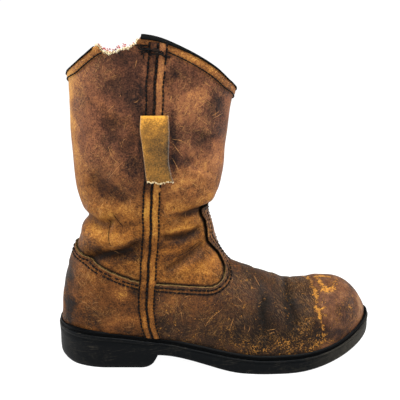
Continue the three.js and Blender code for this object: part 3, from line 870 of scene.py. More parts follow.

# Stains and worn places on the outer side, together with painted light and shade: painted shade in the
# ankle's fold troughs, painted shadows beside the pull strap, and painted highlights on fold ridges and along
# the edges of the shaft, counter and toe. Columns: x, z, reach along x, reach along z, how much.
wearAndPaintedLight = {
    # among the stains: painted shadows beside the pull strap at (96, 222), (122, 222) and (121, 238), and
    # painted shade under the ankle's folds at (62, 118), (60, 113), (85, 118), (122, 128), (130, 135), (143,
    # 135) and (136, 157)
    "dark": [
        (74, 266, 16, 18, 0.24), (88, 284, 8, 9, 0.1), (71, 230, 13, 20, 0.22), (95, 262, 7, 30, 0.2),
        (64, 183, 12, 8, 0.2), (74, 173, 12, 6.5, 0.19), (85, 240, 7, 48, 0.13), (86, 200, 7, 18, 0.16),
        (159, 256, 8, 16, 0.16), (146, 229, 20, 9, 0.22), (131, 209, 12, 8, 0.25),
        (162, 250, 10, 20, 0.15), (137, 280, 26, 9, 0.2), (139, 176, 14, 7, 0.13),
        (143, 135, 12, 4, 0.08), (119, 112, 14, 5, 0.06), (62, 118, 20, 6, 0.4), (82, 129, 12, 5, 0.2),
        (102, 130, 14, 4.5, 0.12), (75, 103, 14, 7, 0.1), (102, 89, 8, 5, 0.12), (104, 128, 12, 4, 0.06),
        (150, 112, 14, 10, 0.15), (130, 135, 26, 4, 0.12), (60, 44, 60, 9, 0.1), (50, 64, 40, 14, 0.1),
        (92, 84, 10, 10, 0.08), (97, 100, 8, 20, 0.1), (16, 69, 7, 30, 0.25), (85, 80, 6, 6, 0.2),
        (17, 54, 8, 12, 0.18), (43, 54, 14, 7, 0.12), (111, 49, 9, 7, 0.18), (155, 216, 6, 9, 0.13),
        (22, 92, 10, 12, 0.2), (109, 163, 7, 6, 0.15), (123, 286, 8, 8, 0.12), (121, 238, 6, 18, 0.15),
        (79, 296, 20, 6, 0.2), (96, 222, 4, 36, 0.25), (122, 222, 3, 34, 0.24), (136, 157, 20, 3, 0.3),
        (288, 52, 10, 13, 0.2), (276, 58, 6, 5, 0.12), (272, 34, 14, 8, 0.15), (60, 113, 22, 7, 0.12),
        (85, 118, 14, 5.5, 0.2), (130, 129, 16, 4.5, 0.08), (122, 128, 18, 4, 0.2),
        (205, 36, 60, 12, 0.15), (225, 60, 24, 20, 0.08), (215, 40, 60, 16, 0.2), (200, 60, 30, 20, 0.1),
        (275, 34, 20, 8, 0.15), (185, 88, 20, 8, 0.1),
    ],
    # besides paler worn places: painted highlights on the ankle's fold ridges at (76, 133), (50, 138) and
    # (125, 142), and along edges at the shaft's back (29, 252), the counter's back (11, 66) and the toe front
    # (303, 58)
    "light": [
        (29, 252, 7, 40, 0.35), (172, 235, 4, 24, 0.08), (36, 200, 5, 30, 0.15), (85, 233, 6, 10, 0.1),
        (138, 216, 5, 5, 0.18), (120, 183, 9, 7, 0.25), (148, 200, 9, 8, 0.15), (61, 153, 8, 5, 0.15),
        (76, 133, 20, 6, 0.1), (50, 138, 14, 6, 0.1), (134, 128, 16, 4, 0.05), (117, 129, 8, 4, 0.18),
        (125, 142, 16, 3, 0.2), (90, 111, 10, 10, 0.15), (35, 72, 15, 14, 0.15), (120, 70, 9, 8, 0.22),
        (80, 53, 13, 7, 0.15), (73, 79, 9, 7, 0.2), (63, 48, 12, 7, 0.2), (56, 62, 12, 10, 0.1),
        (142, 102, 16, 6, 0.2), (160, 205, 5, 10, 0.1), (134, 188, 12, 5, 0.12), (83, 163, 9, 10, 0.12),
        (36, 105, 10, 8, 0.15), (95, 48, 5, 12, 0.15), (303, 58, 5, 16, 0.3), (276, 78, 14, 4, 0.05),
        (158, 125, 12, 25, 0.2), (124, 160, 14, 9, 0.22), (11, 66, 6, 40, 0.3), (140, 268, 14, 24, 0.08),
        (72, 160, 24, 8, 0.12), (140, 72, 10, 5, 0.1), (193, 46, 7, 5, 0.12), (222, 46, 9, 5, 0.12),
        (150, 172, 14, 5, 0.15), (45, 165, 10, 10, 0.1), (110, 60, 7, 9, 0.1), (44, 95, 16, 8, 0.1),
    ],
    "grease": [
        (230, 73, 5, 7, 1.2), (229.5, 58, 4, 12, 1.3), (235, 47, 4, 9, 1.2), (204.5, 52, 4, 15, 1.3),
        (205, 67, 6, 7, 0.6), (217, 62, 18, 20, 0.35), (244, 62, 9, 18, 0.35), (190, 34, 30, 6, 0.4),
        (183, 66, 14, 10, 0.2), (221, 38, 36, 8, 0.3), (190, 84, 12, 6, 0.3), (206, 86, 16, 6, 0.5),
        (240, 78, 10, 5, 0.5),
    ],
    "wrinkle": [
        (247, 68, 8, 13, 0.7), (238, 74, 8, 6, 0.5), (222, 80, 10, 4, 0.35), (190, 80, 14, 6, 0.4),
        (182, 62, 14, 16, 0.3), (220, 62, 5, 14, 0.45), (244, 48, 7, 8, 0.4), (205, 38, 26, 6, 0.3),
    ],
    "peel": [
        (250.3, 77.3, 2.2, 1.5, 0.9), (252, 76.5, 2.0, 1.6, 0.9), (253.7, 75.7, 2.0, 1.6, 1.0),
        (255.7, 74.3, 1.8, 1.6, 0.9), (256, 71.5, 1.4, 2.2, 0.55), (257.5, 67.6, 3.2, 2.1, 1.0),
        (256.8, 64, 1.2, 2.2, 0.6), (255.5, 60.8, 1.8, 1.8, 0.9), (258, 58, 2.6, 2.0, 1.0),
        (260.8, 56.2, 2.8, 1.6, 1.0), (259.3, 53.7, 2.0, 2.0, 1.0), (260.6, 49, 1.3, 2.6, 0.7),
        (261.7, 43.7, 1.6, 4.0, 0.9), (261.4, 36, 1.6, 4.0, 0.7), (261, 30, 2.0, 3.0, 0.8),
        (263.2, 72.2, 1.7, 1.5, 0.8), (266.2, 70.2, 2.4, 1.4, 0.95), (269.6, 70, 2.6, 1.4, 1.0),
        (273.1, 70.9, 2.4, 1.3, 0.95), (276, 71.7, 2.0, 1.2, 0.85), (277.4, 75, 2.6, 1.3, 0.95),
        (279.9, 74.1, 2.4, 1.3, 0.85), (246, 79, 5, 2, 0.4), (262, 60, 4, 1.5, 0.4),
        (252, 30, 5, 2, 0.45), (258, 70, 9, 26, 0.18), (288, 60, 10, 12, 0.16),
    ],
    "crackle": [
        (221, 27, 44, 6, 0.95), (250, 34, 12, 12, 0.7), (232, 38, 10, 7, 0.4), (173, 44, 12, 8, 0.5),
        (156, 41, 12, 4, 0.35), (205, 32, 22, 6, 0.6), (282, 58, 18, 18, 0.3), (245, 50, 6, 14, 0.35),
        (190, 36, 20, 6, 0.4), (296, 42, 6, 4, 0.5), (238, 66, 8, 8, 0.2),
    ],
}
toeLine = softLine([(243, 82), (249, 76.5), (252.5, 75), (255, 71.5), (256.6, 67), (257.4, 59),
                    (260.8, 53), (259.8, 48), (259.9, 38.8), (260.2, 22)])


patchPlaces = sideView + innerSide[:, None] * [7, -5]      # the patches lie a little differently on the inner side


def patches(kind, at=patchPlaces):
    # The sum of the patches, their outlines drawn uneven.
    total = np.zeros(len(at))
    u, v = at.T
    stray = np.stack([
        np.sin(v / 6.3 + 1.7 * np.sin(u / 9.1)) + 0.7 * np.sin((u + v) / 3.7 + 1.1 * np.sin(v / 5.3)),
        np.sin(u / 7.1 + 1.9 * np.sin(v / 8.3 + 1)) + 0.7 * np.sin((u - 1.4 * v) / 4.3 + 2)], 1)
    for px, pz, rx, rz, amount in wearAndPaintedLight[kind]:
        away = at + stray * min(0.32 * min(rx, rz), 3.5) - (px, pz)
        total += amount * np.exp(-(away[:, 0] / rx) ** 2 - (away[:, 1] / rz) ** 2)
    return total


# tone sums the patches: stains and wear together with painted light and shade
tone = 0.38 + 1.25 * patches("light") - 1.45 * patches("dark")
# lighter high on the shaft, as painted light from overhead, and darker low down
tone += 0.09 * ease((z - 165) / 50) - 0.05 * ease((120 - z) / 60)
tone += 0.04 * np.sin(x / 19) * np.sin(z / 23 + 1)
# darker at the toe's front and inner side, so that the painted highlight at the toe front stays on the outer
# side
tone -= 0.34 * ease((x - 288) / 14) * ease((y + 10) / 16)
dirtAndShadeReach = 3.5 + 2 * np.exp(-((x - 90) / 25) ** 2)          # darker above the welt: dirt gathered there, and painted shade where the upper meets the welt
dirtAndPaintedShade = np.exp(-(np.maximum(z - feather(x) - 1, 0) / dirtAndShadeReach) ** 2)
tone -= 0.22 * dirtAndPaintedShade * ease((x - 60) / 30) * ease((262 - x) / 20)
edgeAway = np.where(vampInside, vampEdgeAway, np.where(counterInside, counterEdgeAway, 99))
tone += 0.2 * np.exp(-((edgeAway - 5.1) / 1.3) ** 2)          # the leather between two rows is rubbed bright
for row in (3.2, 7.0):
    tone -= 0.3 * np.exp(-((edgeAway - row) / 0.7) ** 2)
plum = ease((z - 140) / 90) * (0.95 - 0.6 * np.exp(-((x - 28) / 10) ** 2))
plum = clamp(plum + 0.5 * patches("dark") * (z > 150))
toeAway = toLine(sideView, toeLine)[0]
beyond = sideView[:, 0] > np.interp(sideView[:, 1], toeLine[::-1, 1], toeLine[::-1, 0])
toeNote = np.where(beyond, toeAway, -toeAway)
edgeNote = np.maximum(np.where(vampInside, vampEdgeAway, -vampEdgeAway), -60)
edgeNote = np.where(np.abs(counterEdgeAway) < np.abs(edgeNote),
                    np.where(counterInside, counterEdgeAway, -counterEdgeAway), edgeNote)
edgeNote = np.where(vampInside | counterInside, np.abs(edgeNote), -np.abs(edgeNote))
notes = {
    "tone": tone, "plum": plum, "crease": crease, "edge": edgeNote, "grease": clamp(patches("grease")),
    "crackle": clamp(patches("crackle")), "toe": toeNote,
    # falls to near 0 forward of x = 100 above z = 90: cut edges there are painted near black and lose their
    # pale line, as painted shadow in the gap where the vamp's front edge stands off the shaft
    "skived": clamp(1.0 - 0.95 * ease((z - 90) / 8) * (x > 100)),
    "peel": clamp(patches("peel")), "wrinkle": clamp(patches("wrinkle")),
}

# The shaft is the whole skin, turned over at the collar; the lining lies one wall inside it.
inside = skin - skinNormals * form["wall"]
rimOut, rimIn = number[-1], np.arange(across) + rows * across
shaftPoints = np.vstack([points, inside[-1], skin[0].mean(0)[None]])
rimFaces = np.stack([rimOut[:-1], rimIn[:-1], rimIn[1:], rimOut[1:]], 1)
tipIndex = len(shaftPoints) - 1
tipFaces = np.stack([np.full(across - 1, tipIndex), number[0, 1:], number[0, :-1]], 1)
shaftNotes = {key: np.concatenate([values, values.reshape(rows, across)[-1], [values[0]]])
              for key, values in notes.items()}
piece(
    "shaft", shaftPoints, [quads[:, ::-1], rimFaces, tipFaces], [shaftSkin, rawEdge],
    "upper", "shaft_leather", notes=shaftNotes,
    bands=np.concatenate([np.zeros(len(quads)), np.ones(len(rimFaces)), np.zeros(len(tipFaces))]))

every = 2
rowPick = np.unique(np.concatenate([np.arange(0, rows - 1, every), [rows - 1]]))
innerGrid = inside[rowPick][:, ::every]
innerClosed = closed[rowPick]
count = innerGrid.shape[1]
innerNumber = np.arange(len(rowPick) * count).reshape(len(rowPick), count)
innerNumber[innerClosed, -1] = innerNumber[innerClosed, 0]
innerFaces = innerNumber.ravel()[bridge(len(rowPick), count)]
piece("shaft_lining", innerGrid.reshape(-1, 3), innerFaces, [lining], slot="shaft_leather")
print("shaft and lining")


# Vamp, counter and collar band, cut from the same skin.
def panel(name, field, material, lift, extraLift=None, paler=0.0, **labels):
    faces, carry = clipSheet(field)
    away, place, normal = carry(field), carry(points), carry(outward)
    normal /= np.maximum(np.linalg.norm(normal, axis=1, keepdims=True), 1e-9)
    rise = lift - 0.5 * np.exp(-away ** 2)            # the edge is rubbed round
    if extraLift is not None:
        rise = rise + carry(extraLift)
    top = place + normal * rise[:, None]
    rim = rimOf(faces)
    rimPoints = np.unique(rim)
    footNumber = {int(p): len(top) + i for i, p in enumerate(rimPoints)}
    walls = np.array([(b, a, footNumber[a], footNumber[b]) for a, b in rim.tolist()])
    carried = {key: carry(values) for key, values in notes.items()}
    carried["tone"] += paler
    carried["plum"] *= 0.35 if paler else 1.0
    piece(name, np.vstack([top, place[rimPoints]]), [faces[:, ::-1], walls[:, ::-1]], [material, rawEdge],
          notes={key: np.concatenate([values, values[rimPoints]]) for key, values in carried.items()},
          bands=np.concatenate([np.zeros(len(faces)), np.ones(len(walls))]), **labels)


vampTop = np.where(x > 100, ease((sideView[:, 1] - 84) / 20), 0) * np.exp(-(vampEdgeAway / 5) ** 2) * 0.9
panel("vamp_leather_panel", vampField, vampSkin, panels["thick"], vampTop,
      replaces="vamp", slot="vamp_leather")
panel("counter_leather_panel", counterField, counterSkin, panels["thick"],
      replaces="counter", slot="counter_leather")
bandCrown = collarBand["crown"] * clamp(1 - (2 * bandField / bandWide - 1) ** 2)
panel("collar_band", bandField, stripSkin, collarBand["lift"], bandCrown, collarBand["paler"],
      slot="shaft_leather")
print("panels cut")


stitch = {
    "length": 3.0, "space": 0.9, "radius": 0.8, "sides": 6, "skipped": 0.03,
    "rows": (3.4, 6.9), "seamGap": 7.5,      # how far rows lie from a panel's edge and end from a side seam
    "collar": {"away": 0.9, "lift": 0.9, "length": 3.2, "radius": 0.65, "space": 0.2},
}


def tube(line, radius, sides=6):
    # A round tube along a line; radius is one number or one for each point.
    line = np.asarray(line, float)
    radius = np.broadcast_to(radius, len(line))
    ahead = np.gradient(line, axis=0)
    ahead /= np.maximum(np.linalg.norm(ahead, axis=1, keepdims=True), 1e-9)
    helper = np.where(np.abs(ahead[:, 2:3]) < 0.8, [[0, 0, 1.0]], [[0, 1.0, 0]])
    a = np.cross(ahead, helper)
    a /= np.linalg.norm(a, axis=1, keepdims=True)
    b = np.cross(ahead, a)
    turn = np.linspace(0, 2 * np.pi, sides, endpoint=False)
    ring = line[:, None] + radius[:, None, None] * (
        a[:, None] * np.cos(turn)[None, :, None] + b[:, None] * np.sin(turn)[None, :, None])
    made = np.vstack([ring.reshape(-1, 3), line[[0, -1]]])
    s, far = np.arange(sides), (len(line) - 1) * sides
    return made, [bridge(len(line), sides, wrapColumns=True), np.vstack([
        np.stack([np.full(sides, len(made) - 2), (s + 1) % sides, s], 1),
        np.stack([np.full(sides, len(made) - 1), far + s, far + (s + 1) % sides], 1)])]


def joined(name, tubes, material, slot):
    start, groups = 0, ([], [])
    for made, faces in tubes:
        for group, part in zip(groups, faces):
            group.append(part + start)
        start += len(made)
    piece(name, np.vstack([made for made, faces in tubes]), [np.vstack(group) for group in groups],
          [material], slot=slot)


def stitchRow(line, lift, skip=0.0, length=stitch["length"], radius=stitch["radius"], space=stitch["space"]):
    # Short stitches dipping into the leather at both ends, along a line of places and directions.
    run = np.concatenate([[0], np.cumsum(np.linalg.norm(np.diff(line[:, :3], axis=0), axis=1))])
    made = []
    at = 0.6
    while at + length < run[-1]:
        if chance.random() >= skip:
            want = at + length * np.array([0, 0.15, 0.5, 0.85, 1])
            spot = np.stack([np.interp(want, run, line[:, k]) for k in range(6)], 1)
            out = spot[:, 3:] / np.linalg.norm(spot[:, 3:], axis=1, keepdims=True)
            rise = np.array([-0.35, 0.05, 0.22, 0.05, -0.35]) + lift
            thick = radius * np.array([0.7, 1, 1.1, 1, 0.7])
            made.append(tube(spot[:, :3] + out * rise[:, None], thick, stitch["sides"]))
        at += length + space + chance.uniform(-0.15, 0.25)
    return made


threads = []
offSeam = np.abs(sideView[:, 0] - seam(sideView[:, 1])) > stitch["seamGap"]
for away in stitch["rows"]:
    for edgeAway, onPanel in ((vampEdgeAway, vampInside), (counterEdgeAway, counterInside)):
        clear = onPanel & (edgeAway < 15) & offSeam
        for line in contour(edgeAway, away, clear):
            threads += stitchRow(alongLine(line, spacing=1.2), panels["thick"], stitch["skipped"])
row = stitch["collar"]
for line in contour(bandField, row["away"], sideView[:, 1] > 230):
    threads += stitchRow(alongLine(line, spacing=1.2), row["lift"], 0.0,
                         row["length"], row["radius"], row["space"])
print("panel stitches", len(threads))

# Side seams: a strip over the seam, folded along its middle and sewn down both edges.
strip = {
    "lift": 0.15, "stitchLift": 0.6,
    # each row's place across the strip, then its stitches' radius, share skipped and length
    "rows": ((-7.0, 0.85, 0.04, 2.9), (0.0, 1.15, 0.0, 3.4), (7.0, 0.78, 0.04, 2.9)),
    "underStrap": (192, 247),                    # heights where the pull strap hides the outer rows
    "profile": [(-7.7, -0.1), (-7.5, 0.25), (-7.0, 0.3), (-6.3, 0.75), (-3.8, 1.1), (-1.6, 1.0), (-0.8, 0.65),
                (-0.3, 0.1), (0.0, 0.0), (0.3, 0.1), (0.8, 0.8), (1.8, 1.35), (3.8, 1.5), (6.2, 1.05),
                (7.0, 0.4),
                (7.5, 0.3), (7.7, -0.1)],
}


def overPanels(height):
    return panels["thick"] * ease((93 - height) / 5)


for side, label in ((-1, "outer"), (1, "inner")):
    top = float(collar(110, side * 40)) - 3.6
    heights = np.arange(float(feather(100)) + 0.4, top, 1.6)
    lines = {}
    for u, rise in strip["profile"]:
        lane = []
        for h in heights:
            wave = 0.35 * math.sin(h / 9 + side) + 0.2 * math.sin(h / 3.7)
            spot, out = onSkin(float(seam(h)) + u + wave, h, side)
            extra = strip["lift"] + overPanels(h) + 0.7 * float(ease((h - top + 13) / 4))
            lane.append(np.concatenate([spot + out * (rise + extra), out]))
        lines[u] = np.array(lane)
    block = np.stack([lines[u] for u, rise in strip["profile"]], 1)
    us = np.array([u for u, rise in strip["profile"]])
    hh = np.repeat(heights, len(us))
    uu = np.tile(us, len(heights))
    # the strip's two halves painted in light and shade, as lit and shaded sides of its fold: one half darker,
    # the other lighter with painted highlights low down; darker along the middle and the edges
    left = 0.28 + 0.28 * ease((196 - hh) / 30) - 0.1 * ease((110 - hh) / 20)
    left += 0.13 * np.exp(-((hh - 166) / 14) ** 2)
    right = 0.62 + 0.08 * ease((192 - hh) / 15) - 0.08 * ease((152 - hh) / 20)
    right += 0.08 * ease((62 - hh) / 20) - 0.15 * ease((98 - hh) / 15)
    stripTone = np.where(uu * -side > 0, right, left)
    stripTone = stripTone - 0.12 * np.exp(-((np.abs(uu) - 7.2) / 0.8) ** 2) - 0.5 * np.exp(-(uu / 1.0) ** 2)
    stripPlace = block[:, :, [0, 2]].reshape(-1, 2)
    stripTone += 1.1 * patches("light", stripPlace) - 0.04
    stripTone -= patches("dark", stripPlace) * (1 - 0.8 * (hh > 200))
    piece(f"side_strip_{label}", block[:, :, :3].reshape(-1, 3),
          bridge(len(heights), len(us))[:, ::(1 if side < 0 else -1)], [stripSkin], slot="shaft_leather",
          notes={"tone": stripTone, "plum": 0.8 * ease((hh - 160) / 60), "crease": np.zeros(len(uu))})
    low, high = strip["underStrap"]
    keep = (side > 0) | (heights <= low) | (heights >= high)
    for u, thick, skipped, length in strip["rows"]:
        for part in np.split(np.arange(len(heights)), np.flatnonzero(np.diff(keep.astype(int))) + 1):
            if keep[part[0]] and len(part) > 3:
                threads += stitchRow(lines[u][part], strip["stitchLift"], skipped, length, thick)
joined("stitching", threads, blackThreadAndCreaseShade, "binding_leather")
print("side seams sewn")

# Rolled binding on the collar, gone where the edge is torn.
rimPlaces, rimNormals = skin[-1], skinNormals[-1]
rimUp = skin[-1] - skin[-4]
rimUp /= np.linalg.norm(rimUp, axis=1, keepdims=True)
binding = {
    # out from the rim and up, round the rolled tape
    "profile": [(1.9, -1.2), (2.2, -1.0), (2.3, -0.6), (2.0, 0.1), (1.2, 0.6), (0.1, 0.9), (-0.9, 0.95),
                (-1.9, 0.85), (-2.8, 0.3), (-3.3, -0.8), (-3.4, -2.2), (-3.2, -3.4), (-2.9, -4.0)],
    "bulge": 1.9, "lumps": 0.4, "tornFrom": 57.5, "tornTo": 97,
    "tape": {"clean": "#020303", "dusty": "#1d1d1a", "gloss": 0.62, "dust": 0.1, "shine": 0.03},
}
rimX = rimPlaces[:, 0]
tornAt = np.flatnonzero((rimPlaces[:, 1] < 0) & (rimX > binding["tornFrom"]) & (rimX < binding["tornTo"]))
order = np.concatenate([np.arange(tornAt[-1] + 1, across - 1), np.arange(0, tornAt[0])])
way = np.hstack([rimPlaces, rimNormals, rimUp])[order]
sections = []
for i, row in enumerate(way):
    swell = 1 + 0.12 * math.sin(i * 0.9) * math.sin(i * 0.37) + 0.3 * math.exp(-i / 5)
    swell += binding["lumps"] * math.sin(i * 1.7) * math.exp(-i / 9)
    drop = binding["bulge"] * max(math.exp(-(i / 17) ** 2), 0.25 * math.exp(-((len(way) - i) / 5) ** 2))
    sections.append([row[:3] + row[3:6] * n * swell + row[6:9] * (u + 0.3 - (drop if n > 1.4 else 0))
                     for n, u in binding["profile"]])
sections = np.array(sections)
lap = sections.shape[1]
bodyFaces = bridge(len(sections), lap)
capPoints = sections[[0, -1]].mean(1)
capFaces = []
for end, row in ((0, 0), (1, len(sections) - 1)):
    c = np.arange(lap - 1) + row * lap
    tip = np.full(lap - 1, len(sections) * lap + end)
    capFaces.append(np.stack([tip, c, c + 1] if end == 0 else [tip, c + 1, c], 1))
piece("rolled_binding", np.vstack([sections.reshape(-1, 3), capPoints]), [bodyFaces, np.vstack(capFaces)],
      [rubber("coated binding tape, black", binding["tape"])], "binding", "binding_leather",
      notes={"dust": np.zeros(len(sections) * lap + 2)})

# The torn notch: canvas fibres, red thread, the thick bar of black thread beside it.
notch = {
    "fibres": 330, "redEnds": 34, "barThreads": 11, "barThick": 0.42, "barPoints": 26,
    "bar": ((94, 304.5), (100, 303), (107, 301.8), (114, 300.3), (121.5, 298.2)),
    "hanging": ((98.4, 301, 5.5), (97, 302, 3.0), (104, 301, 2.4)),      # x, z and length of the loose ends
}
fibres, reds = [], []
edge = alongLine(np.hstack([rimPlaces, rimNormals, rimUp])[tornAt], spacing=0.5)
for k in range(notch["fibres"]):
    at = chance.uniform(0, len(edge) - 1.001)
    i = int(at)
    row = edge[i] + (at - i) * (edge[i + 1] - edge[i])
    deep = chance.uniform(-2.4, 0.2)
    foot = row[:3] + row[3:6] * deep
    lean = row[6:9] * chance.uniform(0.4, 1.7) + chance.normal(0, 0.5, 3)
    lean = lean + row[3:6] * chance.uniform(-0.4, 0.5) - [0.9 * float(row[0] > 91), 0, 0]
    bend = chance.normal(0, 0.35, 3)
    line = np.array([foot - row[6:9] * 0.8, foot + lean * 0.5 + bend, foot + lean])
    if deep > -1.0 or k % 6:
        fibres.append(tube(line, [0.34, 0.26, 0.12], 4))
    else:
        reds.append(tube(line + row[6:9] * 0.7, [0.22, 0.25, 0.2], 4))
for k in range(notch["redEnds"]):
    row = edge[int(chance.integers(14, len(edge) - 22))]
    foot = row[:3] + row[3:6] * chance.uniform(-2.4, -1.2) + [0, 0, chance.uniform(0.5, 3.2)]
    tip = foot + np.array([chance.normal(0, 1.3), chance.normal(0, 0.5), chance.uniform(0.2, 1.6)])
    reds.append(tube([foot, (foot + tip) / 2 + chance.normal(0, 0.3, 3), tip], [0.3, 0.36, 0.26], 4))
joined("torn_fibres", fibres, creamFibre, "insole_leather")
joined("torn_red_threads", reds, redThread, "insole_leather")

bar = []
barLine = alongLine([onSkin(px, pz, -1, 1.6)[0] for px, pz in notch["bar"]], notch["barPoints"])
for k in range(notch["barThreads"]):
    wander = chance.normal(0, 0.5, (notch["barPoints"], 3))
    wander = (wander + np.roll(wander, 1, 0) + np.roll(wander, 2, 0)) / 2
    offset = np.array([0, -0.5 * (k % 3), (k - 5) * 0.34])
    cutFrom, cutTo = int(chance.integers(0, 5)), int(chance.integers(21, 27))
    bar.append(tube((barLine + wander + offset)[cutFrom:cutTo], notch["barThick"]))
for px, pz, drop in notch["hanging"]:
    spot, out = onSkin(px, pz, -1, 2.4)
    swings = np.array([(0, 0, 0), (0.8, -0.7, -drop * 0.4), (0.4, -0.2, -drop * 0.8), (1.4, 0.2, -drop)])
    bar.append(tube(spot + swings, [0.5, 0.5, 0.6, 0.35]))
joined("thread_bar", bar, blackThreadAndCreaseShade, "binding_leather")
print("collar dressed")

# Pull strap: one suede strip folded double, hanging over the side seam.
strap = {
    "left": [(190, 98.9), (194, 98.2), (200, 97.6), (208, 97.1), (218, 96.4), (226, 95.7), (237, 94.4),
             (249.5, 95.2)],
    "right": [(190, 121.6), (196, 119.8), (207.5, 118.0), (223, 118.2), (238, 118.8), (249.5, 118.2)],
    "top": 249.5, "bottom": 190.5, "under": 2.6, "thick": 3.4, "fold": 3.0, "frayedEnds": 110,
    "foldRows": 6, "rows": 46, "pointsAcross": 22,
    "suede": ((0.15, "#251c0c"), (0.45, "#543b17"), (0.8, "#8c6021"), (1.0, "#c18830")),
}
leftEdge, rightEdge = through(strap["left"]), through(strap["right"])
foldEnd = strap["top"] - strap["fold"]
levels = np.concatenate([np.linspace(strap["top"], foldEnd, strap["foldRows"])[:-1],
                         np.linspace(foldEnd, strap["bottom"], strap["rows"])])
shareAcross = np.linspace(0, 1, strap["pointsAcross"])
strapRings, strapTone = [], []
raggedFoot = 0.7 * np.sin(shareAcross * 9) + 0.5 * np.sin(shareAcross * 23 + 1)
raggedFoot += chance.normal(0, 0.3, len(shareAcross))
for level in levels:
    down = (strap["top"] - level) / (strap["top"] - strap["bottom"])
    fold = math.sqrt(1 - max(0.0, 1 - (strap["top"] - level) / strap["fold"]) ** 2)
    front, back = [], []
    for k, share in enumerate(shareAcross):
        px = float(leftEdge(level)) * (1 - share) + float(rightEdge(level)) * share
        pz = level + (raggedFoot[k] * ease((down - 0.85) / 0.15))
        spot, out = onSkin(px, pz, -1)
        round_ = 1 - abs(2 * share - 1) ** 8
        mid = strap["under"] + strap["thick"] / 2 + 0.5 * math.sin(down * 3 + share * 2)
        mid += 1.8 * float(ease((down - 0.75) / 0.25)) * share ** 2 - 0.4 * math.cos(down * 9)
        half = strap["thick"] / 2 * fold * (0.55 + 0.45 * round_)
        aim = out * 0.5 + [0.0, -0.5, 0.0]
        front.append(spot + aim * (mid + half))
        back.append(spot + aim * (mid - half))
        # the suede's tone: darker where greased in the middle and low down, darker along the right edge,
        # lighter along the left, and a painted highlight on the fold at the top
        suedeToneAndFoldHighlight = 0.36 - 0.3 * math.exp(-((down - 0.5) / 0.24) ** 2 - ((share - 0.75) / 0.5) ** 2)
        suedeToneAndFoldHighlight -= 0.25 * math.exp(-((share - 0.97) / 0.08) ** 2)
        suedeToneAndFoldHighlight += 0.1 * math.exp(-(share / 0.12) ** 2) + 0.22 * math.exp(-(down / 0.12) ** 2)
        suedeToneAndFoldHighlight -= 0.14 * float(ease((down - 0.55) / 0.3))
        strapTone.append(suedeToneAndFoldHighlight)
    groove = [front[k] * 0.55 + back[k] * 0.45 + [inward, 0, 0] for k, inward in ((-1, -0.7), (0, 0.7))]
    strapTone += [0.0] + strapTone[-len(front):][::-1] + [0.0]
    strapRings.append(front + [groove[0]] + back[::-1] + [groove[1]])
strapRings = np.array(strapRings)
n, m = strapRings.shape[:2]
endPoints = np.array([strapRings[0].mean(0), strapRings[-1].mean(0)])
s = np.arange(m)
endFaces = np.vstack([np.stack([np.full(m, n * m), s, (s + 1) % m], 1),
                      np.stack([np.full(m, n * m + 1), (n - 1) * m + (s + 1) % m, (n - 1) * m + s], 1)])
piece("pull_strap_suede", np.vstack([strapRings.reshape(-1, 3), endPoints]),
      [bridge(n, m, wrapColumns=True)[:, ::-1], endFaces[:, ::-1]], [strapSuede(strap["suede"])],
      "pull_strap", "strap_suede", notes={"tone": strapTone + [0.3, 0.9]})
frayed = []
for k in range(strap["frayedEnds"]):
    i = int(chance.integers(0, m))
    foot = strapRings[-1][i]
    if i in (len(shareAcross), m - 1):
        continue
    foot = foot + (strapRings[-1][(i + 1) % m] - foot) * chance.uniform(0, 0.9)
    tip = foot + np.array([chance.normal(0, 0.5), chance.normal(-0.1, 0.4), -chance.uniform(0.2, 1.0)])
    middlePoint = (foot + tip) / 2 + chance.normal(0, 0.12, 3)
    frayed.append(tube([foot + [0, 0, 0.8], middlePoint, tip], [0.3, 0.26, 0.12], 4))
joined("strap_frayed_end", frayed, creamFibre, "strap_suede")
print("pull strap hung")


# The sole: a storm welt and a moulded unit, both swept round one plan.
def soleLoop(inset, count):
    # A closed loop round the sole's plan, inset from its edge, heel first along the outer side.
    t = np.linspace(0, 1, count)
    heelPart, toePart = 0.24, 0.7
    x0, x1 = plan["heelEnd"] + inset, plan["heelEnd"] + plan["heelRound"]
    x3, x2 = plan["toeEnd"] - inset, plan["toeEnd"] - plan["toeRound"]
    xs = np.where(
        t < heelPart, x0 + (x1 - x0) * (1 - np.cos(np.pi / 2 * clamp(t / heelPart))),
        np.where(t > toePart, x3 - (x3 - x2) * (1 - np.cos(np.pi / 2 * clamp((1 - t) / (1 - toePart)))),
                 x1 + (x2 - x1) * clamp((t - heelPart) / (toePart - heelPart))))
    outer = np.stack([xs, centre(xs) - halfWidth(xs, -1, inset)], 1)
    inner = np.stack([xs, centre(xs) + halfWidth(xs, 1, inset)], 1)
    return np.vstack([outer, inner[-2:0:-1]])


def underside(x):
    breast = 1 - np.sqrt(1 - clamp((x - 88) / 15) ** 2)
    arch = 13.6 * breast * (1 - ease((x - 104) / 84))
    back = 6 * np.maximum(1 - x / 24, 0) ** 1.5
    toe = 24 * (np.maximum(x - 226, 0) / 89) ** 1.85
    return np.select([x < 24, x <= 88, x < 188, x <= 226], [back, 0.0, arch, 0.0], toe)


def sweepSole(profile, count):
    # Loops of a profile's (inset, height over the feather line) points.
    loops = [(soleLoop(inset, count), rise) for inset, rise in profile]
    return np.array([np.column_stack([loop, feather(loop[:, 0]) + rise]) for loop, rise in loops])


def acrossLoop(loop, count):
    # The outer and the inner side of a loop, both from its heel end to its toe end.
    return loop[:count], np.vstack([loop[0], loop[:count - 1:-1], loop[count - 1]])


def coverLoop(base, first, lanes, count):
    # Faces that fill a loop numbered from base, over lanes of points numbered from first.
    sides = acrossLoop((base + np.arange(2 * count - 2))[:, None], count)
    sheet = np.vstack([sides[0].T, first + np.arange(lanes * count).reshape(-1, count), sides[1].T])
    return sheet.ravel()[bridge(*sheet.shape)]


